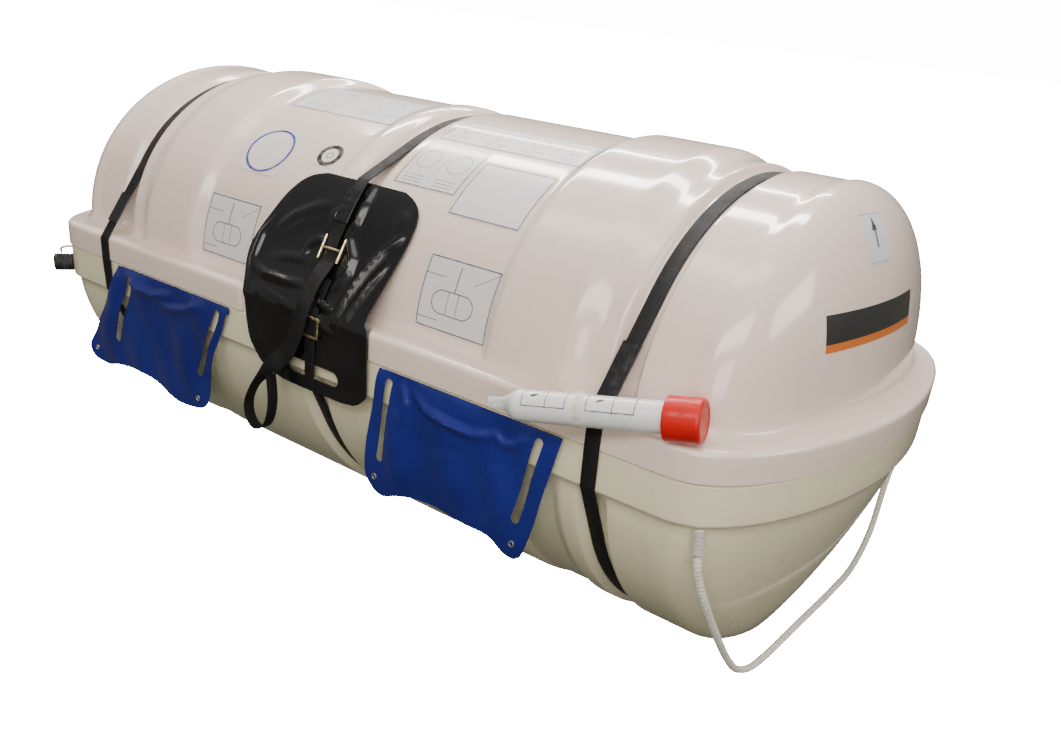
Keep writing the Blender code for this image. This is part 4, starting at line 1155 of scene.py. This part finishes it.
# Blue sheets: two thin royal-blue coated sheets, fixed by a hem to the band wall under the lip, which hang
# over the hull. Each has two long slots, and an eyelet in its lower corners.
SHEET_TOP, SHEET_BACK = LIP_BOTTOM - 0.0015, WIDTH / 2 + GAP
SHEET_THICK, SLOT_WIDTH, SHEET_ROWS, SHEET_COLUMNS = 0.0012, 0.0135, 54, 84
blue = Finish("blue_coated_sheet", (0.012, 0.03, 0.26), 0.28, Coat_Weight=0.25, Coat_Roughness=0.15)
faded = blue.noise(7, 3, 0.5).spread(0.3, 0.7)
blue.feed("Base Color", blue.mixed(faded, (0.006, 0.011, 0.135), (0.009, 0.017, 0.19)))
blue.feed("Roughness", 0.24 + blue.noise(12, 3, 0.5) * 0.08)
blue.relief((blue.noise(9, 2, 0.4), 0.10, 0.006), (blue.noise(800, 2), 0.03, 0.0002))
# Each sheet: left edge from the top, lower edge, right edge from the top, slots, eyelets, and folds as the
# pad's creases are.
SHEETS = (
    ("left", [(-0.500, SHEET_TOP), (-0.540, 0.304), (-0.604, 0.219), (-0.613, 0.200), (-0.608, 0.187)],
     [(-0.608, 0.187), (-0.590, 0.178), (-0.556, 0.176), (-0.514, 0.187), (-0.433, 0.191), (-0.333, 0.172),
      (-0.285, 0.173), (-0.262, 0.180), (-0.250, 0.190)],
     [(-0.183, SHEET_TOP), (-0.224, 0.286), (-0.238, 0.237), (-0.244, 0.205), (-0.250, 0.190)],
     [((-0.462, 0.361), (-0.515, 0.240)), ((-0.214, 0.361), (-0.266, 0.245))],
     [(-0.592, 0.200), (-0.275, 0.194)],
     [([(-0.490, 0.372), (-0.520, 0.300), (-0.560, 0.220)], 0.020, 0.007),
      ([(-0.478, 0.366), (-0.440, 0.352), (-0.390, 0.350), (-0.340, 0.362)], 0.0065, 0.008),
      ([(-0.390, 0.345), (-0.350, 0.336), (-0.300, 0.345), (-0.255, 0.366)], 0.0060, 0.006),
      ([(-0.46, 0.30), (-0.44, 0.24), (-0.47, 0.19)], 0.030, 0.006),
      ([(-0.30, 0.32), (-0.31, 0.25), (-0.30, 0.18)], 0.028, 0.006)]),
    ("right", [(0.165, SHEET_TOP), (0.147, 0.272), (0.143, 0.215), (0.149, 0.195)],
     [(0.149, 0.195), (0.165, 0.182), (0.188, 0.179), (0.217, 0.190), (0.268, 0.201), (0.334, 0.197),
      (0.391, 0.196), (0.420, 0.181), (0.440, 0.178), (0.452, 0.186)],
     [(0.496, SHEET_TOP), (0.477, 0.282), (0.458, 0.205), (0.452, 0.186)],
     [((0.188, 0.361), (0.175, 0.240)), ((0.462, 0.361), (0.437, 0.240))],
     [(0.166, 0.205), (0.436, 0.201)],
     [([(0.214, 0.372), (0.224, 0.340), (0.220, 0.305)], 0.0065, 0.007),
      ([(0.240, 0.360), (0.265, 0.344), (0.310, 0.338), (0.350, 0.336), (0.390, 0.345)], 0.0065, 0.009),
      ([(0.385, 0.350), (0.405, 0.338), (0.425, 0.345), (0.440, 0.360)], 0.0055, 0.006),
      ([(0.212, 0.33), (0.205, 0.26), (0.215, 0.19)], 0.022, 0.007),
      ([(0.395, 0.31), (0.405, 0.25), (0.395, 0.20)], 0.022, 0.006),
      ([(0.30, 0.30), (0.31, 0.25), (0.29, 0.20)], 0.040, 0.007)]),
)


def edge_at(route, steps):
    """Evenly spaced (x, z) places along a smooth edge."""
    fine = smooth_route([(x, 0, z) for x, z in route], 0.002)
    places = np.array([(p.x, p.z) for p in fine])
    gone = np.concatenate([[0], np.cumsum(np.hypot(*np.diff(places, axis=0).T))])
    wanted = np.linspace(0, gone[-1], steps + 1)
    return np.stack([np.interp(wanted, gone, places[:, 0]), np.interp(wanted, gone, places[:, 1])], -1)


def eyelet_tree(metal):
    """Geometry Nodes: a small ring at every point."""
    tree = bpy.data.node_groups.new("eyelets", "GeometryNodeTree")
    for name, kind in (("Geometry", "NodeSocketGeometry"), ("Ring radius", "NodeSocketFloat"),
                       ("Wire radius", "NodeSocketFloat")):
        tree.interface.new_socket(name, in_out="INPUT", socket_type=kind)
    tree.interface.new_socket("Geometry", in_out="OUTPUT", socket_type="NodeSocketGeometry")
    made = {key: tree.nodes.new(kind) for key, kind in (
        ("in", "NodeGroupInput"), ("out", "NodeGroupOutput"), ("circle", "GeometryNodeCurvePrimitiveCircle"),
        ("wire", "GeometryNodeCurvePrimitiveCircle"), ("ring", "GeometryNodeCurveToMesh"),
        ("tip", "GeometryNodeTransform"), ("place", "GeometryNodeInstanceOnPoints"),
        ("real", "GeometryNodeRealizeInstances"), ("metal", "GeometryNodeSetMaterial"))}
    made["circle"].inputs["Resolution"].default_value = 20
    made["wire"].inputs["Resolution"].default_value = 8
    made["tip"].inputs["Rotation"].default_value = (math.radians(90), 0, 0)
    made["metal"].inputs["Material"].default_value = metal
    for a, out, b, into in (("in", "Ring radius", "circle", "Radius"), ("in", "Wire radius", "wire", "Radius"),
                            ("circle", "Curve", "ring", "Curve"), ("wire", "Curve", "ring", "Profile Curve"),
                            ("ring", "Mesh", "tip", "Geometry"), ("in", "Geometry", "place", "Points"),
                            ("tip", "Geometry", "place", "Instance"), ("place", "Instances", "real", "Geometry"),
                            ("real", "Geometry", "metal", "Geometry"), ("metal", "Geometry", "out", "Geometry")):
        tree.links.new(made[a].outputs[out], made[b].inputs[into])
    return tree


eyelet_metal = Finish("eyelet_metal", (0.62, 0.60, 0.55), 0.35, 1.0)
dulled = eyelet_metal.noise(300, 3).spread(0.4, 0.7)
eyelet_metal.feed("Roughness", 0.3 + dulled * 0.3)
eyelet_metal.feed("Base Color", eyelet_metal.mixed(dulled, (0.66, 0.64, 0.58), (0.40, 0.39, 0.35)))
eyelets = eyelet_tree(eyelet_metal.material)
EYELET_SIZES = {"Ring radius": 0.0042, "Wire radius": 0.0012}
for name, left, bottom, right_side, slots, holes, folds in SHEETS:
    a, b = edge_at(left, SHEET_ROWS), edge_at(right_side, SHEET_ROWS)
    low = edge_at(bottom, SHEET_COLUMNS)
    top = np.stack([np.linspace(a[0, 0], b[0, 0], SHEET_COLUMNS + 1), np.full(SHEET_COLUMNS + 1, SHEET_TOP)], -1)
    u = np.linspace(0, 1, SHEET_COLUMNS + 1)[None, :, None]
    v = np.linspace(0, 1, SHEET_ROWS + 1)[:, None, None]
    grid = ((1 - u) * a[:, None] + u * b[:, None] + (1 - v) * top[None] + v * low[None]
            - (1 - u) * (1 - v) * a[0] - u * (1 - v) * b[0] - (1 - u) * v * a[-1] - u * v * b[-1])
    x, z = grid[..., 0], grid[..., 1]
    lift = sum(near_crease(x, z, route, wide, high) for route, wide, high in folds)
    hem = np.clip((SHEET_TOP - z) / 0.02, 0, 1)
    sway = 0.0022 * (1 + np.sin(x * 34 + 0.7) * np.cos(z * 17 + x * 9)) + 0.0012 * (1 + np.sin(x * 71 + z * 40))
    y = -SHEET_BACK - 0.0004 - (lift + sway) * hem**0.7
    points = [tuple(map(float, p)) for p in np.stack([x, y, z], -1).reshape(-1, 3)]
    uvs = [(float(p), float(q)) for p, q in zip(x.ravel(), z.ravel())]
    sheet = front_sheet(f"blue_sheet_{name}", points, uvs, SHEET_ROWS, SHEET_COLUMNS, blue)
    sheet_area = face_area(sheet)
    thickened(sheet, SHEET_THICK)
    for start, end in slots:
        cut_away(sheet, rounded_bar("slot", start, end, SLOT_WIDTH))
        sheet_area -= SLOT_WIDTH * math.dist(start, end)
    ring_places = []
    for hole_x, hole_z in holes:
        near = np.unravel_index(np.argmin((x - hole_x) ** 2 + (z - hole_z) ** 2), x.shape)
        ring_places.append((hole_x, float(y[near]) - SHEET_THICK - 0.0002, hole_z))
    dots = piece(f"eyelets_{name}", ring_places, [], eyelet_metal)
    rings_on = dots.modifiers.new("eyelets", "NODES")
    rings_on.node_group = eyelets
    for item in eyelets.interface.items_tree:
        if item.item_type == "SOCKET" and item.in_out == "INPUT" and item.name in EYELET_SIZES:
            rings_on[item.identifier] = EYELET_SIZES[item.name]
    settled(dots)
    hem_line = [Vector((t, -SHEET_BACK + 0.0016, SHEET_TOP - 0.0063))
                for t in np.linspace(a[0, 0] + 0.006, b[0, 0] - 0.006, 12)]
    hem_strip = webbing(f"sheet_hem_{name}", [(p, Vector((0, 0, 0.0058))) for p in hem_line], 0.0024, blue)
    wide, tall = float(x.max() - x.min()), float(SHEET_TOP - z.min())
    for made in (sheet, dots, hem_strip):
        fitted(made, "lower_half", "blue_sheet")
    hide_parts(f"sheet_{name}")

# Instruction tube: a white plastic tube with two blank paper labels and a flat tongue at its tip.
# A red cap pushes on at its other end, and a cream tie holds it to the right band.
TUBE_TIP, TUBE_END = Vector((0.410, -0.4225, 0.4135)), Vector((0.6735, -0.3560, 0.4566))
TUBE_RADIUS, CAP_RADIUS, CAP_LAP = 0.020, 0.0275, 0.042
tube_axis = (TUBE_END - TUBE_TIP).normalized()
tube_side = Vector((0, 0, 1)).cross(tube_axis).normalized()
tube_up = tube_axis.cross(tube_side)
tube_length = (TUBE_END - TUBE_TIP).length


def turned(name, profile, start, finish, sides=64, squeeze=lambda h: 1):
    """A profile of (radius, height) turned round the tube's axis from a start. squeeze flattens it by height."""
    points, uvs = [], []
    for r, h in profile:
        for k in range(sides + 1):
            turn = 2 * math.pi * k / sides
            points.append(start + tube_axis * h + tube_up * (math.cos(turn) * r)
                          + tube_side * (math.sin(turn) * r * squeeze(h)))
            uvs.append((k / sides, h))
    return piece(name, points, grid_faces(len(profile) - 1, sides), finish, uvs, 40)


white = Finish("white_plastic", (0.80, 0.79, 0.76), 0.32)
grubby = white.noise(40, 5, 0.65).spread(0.48, 0.75)
white.feed("Base Color", white.mixed(grubby * 0.35, (0.82, 0.81, 0.78), (0.55, 0.53, 0.47)))
white.feed("Roughness", 0.28 + grubby * 0.2)
white.relief((white.noise(300, 3), 0.05, 0.0004))
body_profile = [(0, 0), (0.0070, 0.0003), (0.0080, 0.003), (0.0080, 0.016)]
body_profile += [(0.008 + 0.012 * smooth(0, 1, i / 12), 0.016 + 0.030 * i / 12) for i in range(1, 13)]
body_profile += [(TUBE_RADIUS, 0.10), (TUBE_RADIUS, 0.18), (TUBE_RADIUS, tube_length - 0.001),
                 (TUBE_RADIUS - 0.001, tube_length), (0, tube_length)]
tube = turned("tube_shell", body_profile, TUBE_TIP, white, 64, lambda h: 0.30 + 0.70 * smooth(0.012, 0.040, h))
tongue_hole = [TUBE_TIP + tube_axis * 0.010 + tube_side * t for t in (-0.02, 0.02)]
cut_away(tube, hose("tongue_slot", tongue_hole, 0.0025, white))
fitted(tube, "upper_half", "white_plastic", "tube_body")


def paper_draw(width, height):
    """Plain boxes, a rule and a few blots, for a blank worn paper."""
    edge_ink = framed(width, height, FINE, 0.0015)

    def draw(x, y):
        divide = stroke(x - width * 0.55, 0.0008)
        cx, cy = x - width * 0.28, y - height * 0.5
        blot = ((cx * cx + (cy * 2.2 - cx * 0.8) ** 2) ** 0.5 < height * 0.16)
        rule = stroke(y - height * 0.86, FINE) * (x < width * 0.4)
        return (edge_ink(x, y) + divide + blot + rule).least(1.0)
    return draw


for name, start, end, first, last_turn in (("tip", 0.052, 0.112, -20, 75), ("cap", 0.136, 0.200, -15, 75)):
    width, height = end - start, TUBE_RADIUS * math.radians(last_turn - first)
    paper = panel_finish(f"paper_{name}", width, height, paper_draw(width, height), (0.80, 0.79, 0.78),
                         (0.03, 0.03, 0.035))
    points, uvs, steps, turns = [], [], 8, 24
    for out in (0.0001, 0.0003):
        for i in range(steps + 1):
            for k in range(turns + 1):
                turn = math.radians(first + (last_turn - first) * k / turns)
                points.append(TUBE_TIP + tube_axis * (start + width * i / steps)
                              + (tube_up * math.cos(turn) - tube_side * math.sin(turn)) * (TUBE_RADIUS + out))
                uvs.append((i / steps, 1 - k / turns))
    patch(f"label_{name}", points, uvs, turns + 1, paper)
red = Finish("red_plastic", (0.62, 0.01, 0.008), 0.4, Specular_IOR_Level=0.35)
handled = red.noise(60, 5, 0.65).spread(0.45, 0.72)
red.feed("Base Color", red.mixed(handled * 0.5, (0.62, 0.008, 0.006), (0.42, 0.012, 0.010)))
red.feed("Roughness", 0.3 + handled * 0.2)
red.relief((red.noise(250, 3), 0.12, 0.0005))
CAP_BORE, TIE_WIDTH, TIE_STEPS = TUBE_RADIUS + 0.0003, 0.009, 18
cap_profile = [(CAP_BORE, 0.040), (CAP_BORE, 0.0005), (TUBE_RADIUS + 0.0008, 0), (CAP_RADIUS - 0.0012, 0),
               (CAP_RADIUS - 0.0003, 0.0006), (CAP_RADIUS, 0.0018), (CAP_RADIUS, 0.012), (CAP_RADIUS, 0.030),
               (CAP_RADIUS, 0.041)]
cap_profile += [(CAP_RADIUS - 0.004 * (1 - math.cos(t)), 0.041 + 0.0045 * math.sin(t))
                for t in (math.radians(15 * k) for k in range(1, 7))]
cap_profile += [(0.021, 0.0456), (0.0204, 0.0448), (0, 0.0448), (0, 0.0423), (CAP_BORE, 0.0423), (CAP_BORE, 0.040)]
cap = turned("cap_shell", cap_profile, TUBE_END - tube_axis * CAP_LAP, red, 96)
fitted(cap, "tube_cap", "red_plastic", "tube_cap")
tie_profile = [(CAP_BORE, 0)]
tie_profile += [(TUBE_RADIUS + 0.0012 + 0.0004 * math.sin(6 * math.pi * k / TIE_STEPS), TIE_WIDTH * k / TIE_STEPS)
                for k in range(TIE_STEPS + 1)]
tie_profile += [(CAP_BORE, TIE_WIDTH), (CAP_BORE, 0)]
tie = turned("tie_wound", tie_profile, TUBE_TIP + tube_axis * 0.122, rope_cover)
fitted(tie, "upper_half", "rope", "tube_tie")

# Bung: a ribbed black rubber plug that closes the left end's line exit. It is pressed against the wall
# and hangs on its own short cord.
rubber = Finish("black_rubber", (0.018, 0.018, 0.018), 0.55)
bloom = rubber.noise(80, 4, 0.65).spread(0.42, 0.72)
rubber.feed("Base Color", rubber.mixed(bloom * 0.6, (0.014, 0.014, 0.015), (0.06, 0.06, 0.058)))
rubber.feed("Roughness", 0.45 + bloom * 0.25)
rubber.relief((rubber.noise(300, 3), 0.2, 0.0005))
BUNG_RADIUS, BUNG_HALF, RIB_PITCH, BUNG_CORD_RADIUS = 0.0165, 0.018, 0.006, 0.0025
low, high = (Vector(c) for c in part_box("bung"))
centre = (low + high) / 2 - in_frame
corners = [Vector(v.co) - in_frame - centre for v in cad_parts["bung"].data.vertices]


def longer(way):
    """How much longer than wide the plug is along a level way."""
    reach = [c.dot(way) for c in corners]
    across = [c.dot(Vector((-way.y, way.x, 0))) for c in corners]
    return max(reach) - min(reach) - (max(across) - min(across))


ways = (Vector((math.cos(angle), math.sin(angle), 0)) for angle in (math.radians(180 + k) for k in range(90)))
seat_out = max(ways, key=longer)


def ribbed(gone, turn):
    rounded = 1 - max(0.0, abs(gone - BUNG_HALF) - 0.0145) ** 2 / 0.0035**2 * 0.30
    return BUNG_RADIUS * rounded * (1 - 0.075 * (0.5 + 0.5 * math.cos(gone / RIB_PITCH * 2 * math.pi)))


plug_route = [centre + seat_out * t for t in np.linspace(-BUNG_HALF, BUNG_HALF, 61)]
bung = hose("ribbed_bung", plug_route, BUNG_RADIUS, rubber, 40, ribbed)
fitted(bung, "lower_half", "rubber", "bung")
wall_at = centre - seat_out * (BUNG_HALF + GAP)
bung_route = smooth_route([wall_at + Vector((0, 0, height)) + seat_out * out for height, out in
                           ((0.030, 0.0004), (0.030, 0.010), (0.0265, 0.021), (0.0175, 0.021))], 0.0015)
bung_cord = fitted(hose("bung_line", bung_route, BUNG_CORD_RADIUS, rope_cover, 14), "lower_half", "rope", "bung_cord")
bung_route[0] + in_frame
route_length(bung_route)
[p + in_frame for p in bung_route]

# Floor and light: a plain pale floor, and the long overhead lamps of a workshop, which draw the strips of light
# along the gelcoat. The floor is bright to look at but throws little light back at the hull.
floor_finish = Finish("pale_floor", (0.86, 0.86, 0.855), 0.8, Emission_Color=(1, 1, 0.995, 1),
                      Emission_Strength=30.0)
floor_tone = floor_finish.noise(2.5, 4, 0.5)
floor_finish.feed("Base Color", floor_finish.mixed(floor_tone, (0.90, 0.90, 0.895), (0.86, 0.86, 0.855)))
FLOOR_HALF = 30
floor_mesh = bpy.data.meshes.new("floor")
floor_mesh.from_pydata([(x * FLOOR_HALF, y * FLOOR_HALF, 0) for x, y in ((-1, -1), (1, -1), (1, 1), (-1, 1))], [],
                       [(0, 1, 2, 3)])
floor = bpy.data.objects.new("floor", floor_mesh)
floor_mesh.materials.append(floor_finish.material)
bpy.context.scene.collection.objects.link(floor)
floor.visible_diffuse = False
floor.visible_glossy = False
world = bpy.data.worlds.new("studio")
world.use_nodes = True
bpy.context.scene.world = world
sky = world.node_tree
seen, around = sky.nodes["Background"], sky.nodes.new("ShaderNodeBackground")
seen.inputs["Color"].default_value = (1, 1, 1, 1)
seen.inputs["Strength"].default_value = 14.0
direction, height = sky.nodes.new("ShaderNodeTexCoord"), sky.nodes.new("ShaderNodeSeparateXYZ")
ramp, rays, choice = (sky.nodes.new(f"ShaderNode{kind}") for kind in ("ValToRGB", "LightPath", "MixShader"))
ramp.color_ramp.elements[0].color, ramp.color_ramp.elements[-1].color = (0.10, 0.098, 0.075, 1), (0.42, 0.41, 0.41, 1)
for position, colour in ((0.47, (0.13, 0.125, 0.10, 1)), (0.56, (0.34, 0.33, 0.32, 1)),
                         (0.75, (0.30, 0.295, 0.29, 1))):
    ramp.color_ramp.elements.new(position).color = colour
lifted = sky.nodes.new("ShaderNodeMapRange")
lifted.inputs["From Min"].default_value = -1
for a, out, b, into in ((direction, "Generated", height, "Vector"), (height, "Z", lifted, "Value"),
                        (lifted, "Result", ramp, "Fac"), (ramp, "Color", around, "Color"),
                        (rays, "Is Camera Ray", choice, 0)):
    sky.links.new(a.outputs[out], b.inputs[into])
sky.links.new(around.outputs[0], choice.inputs[1])
sky.links.new(seen.outputs[0], choice.inputs[2])
sky.links.new(choice.outputs[0], sky.nodes["World Output"].inputs["Surface"])


def lamp(name, place, target, size, power):
    """A soft oblong lamp that looks at a place and doesn't show itself."""
    light = bpy.data.lights.new(name, "AREA")
    light.shape = "RECTANGLE"
    light.size, light.size_y = size
    light.energy = power
    light.color = (1, 0.97, 0.94)
    made = bpy.data.objects.new(name, light)
    made.location = place
    made.rotation_euler = (Vector(target) - Vector(place)).to_track_quat("-Z", "Y").to_euler()
    made.visible_camera = False
    bpy.context.scene.collection.objects.link(made)


lamp("long_lamp_near", (-0.75, 0.90, 2.7), (-0.75, 0.90, 0), (3.2, 0.30), 125)
lamp("long_lamp_far", (-1.2, 2.3, 2.7), (-1.2, 2.3, 0), (3.0, 0.16), 76)
lamp("wide_lamp_over", (0.0, -0.6, 2.8), (0.0, -0.5, 0), (3.0, 0.5), 16)
lamp("wide_lamp_front", (1.3, -2.6, 2.6), (0, 0, 0.3), (4.2, 0.9), 88)
lamp("front_lamp", (2.6, -3.4, 1.3), (0, 0, 0.3), (2.4, 1.4), 52)
lamp("end_lamp", (3.2, 0.6, 1.6), (0.5, 0, 0.3), (1.4, 0.8), 24)
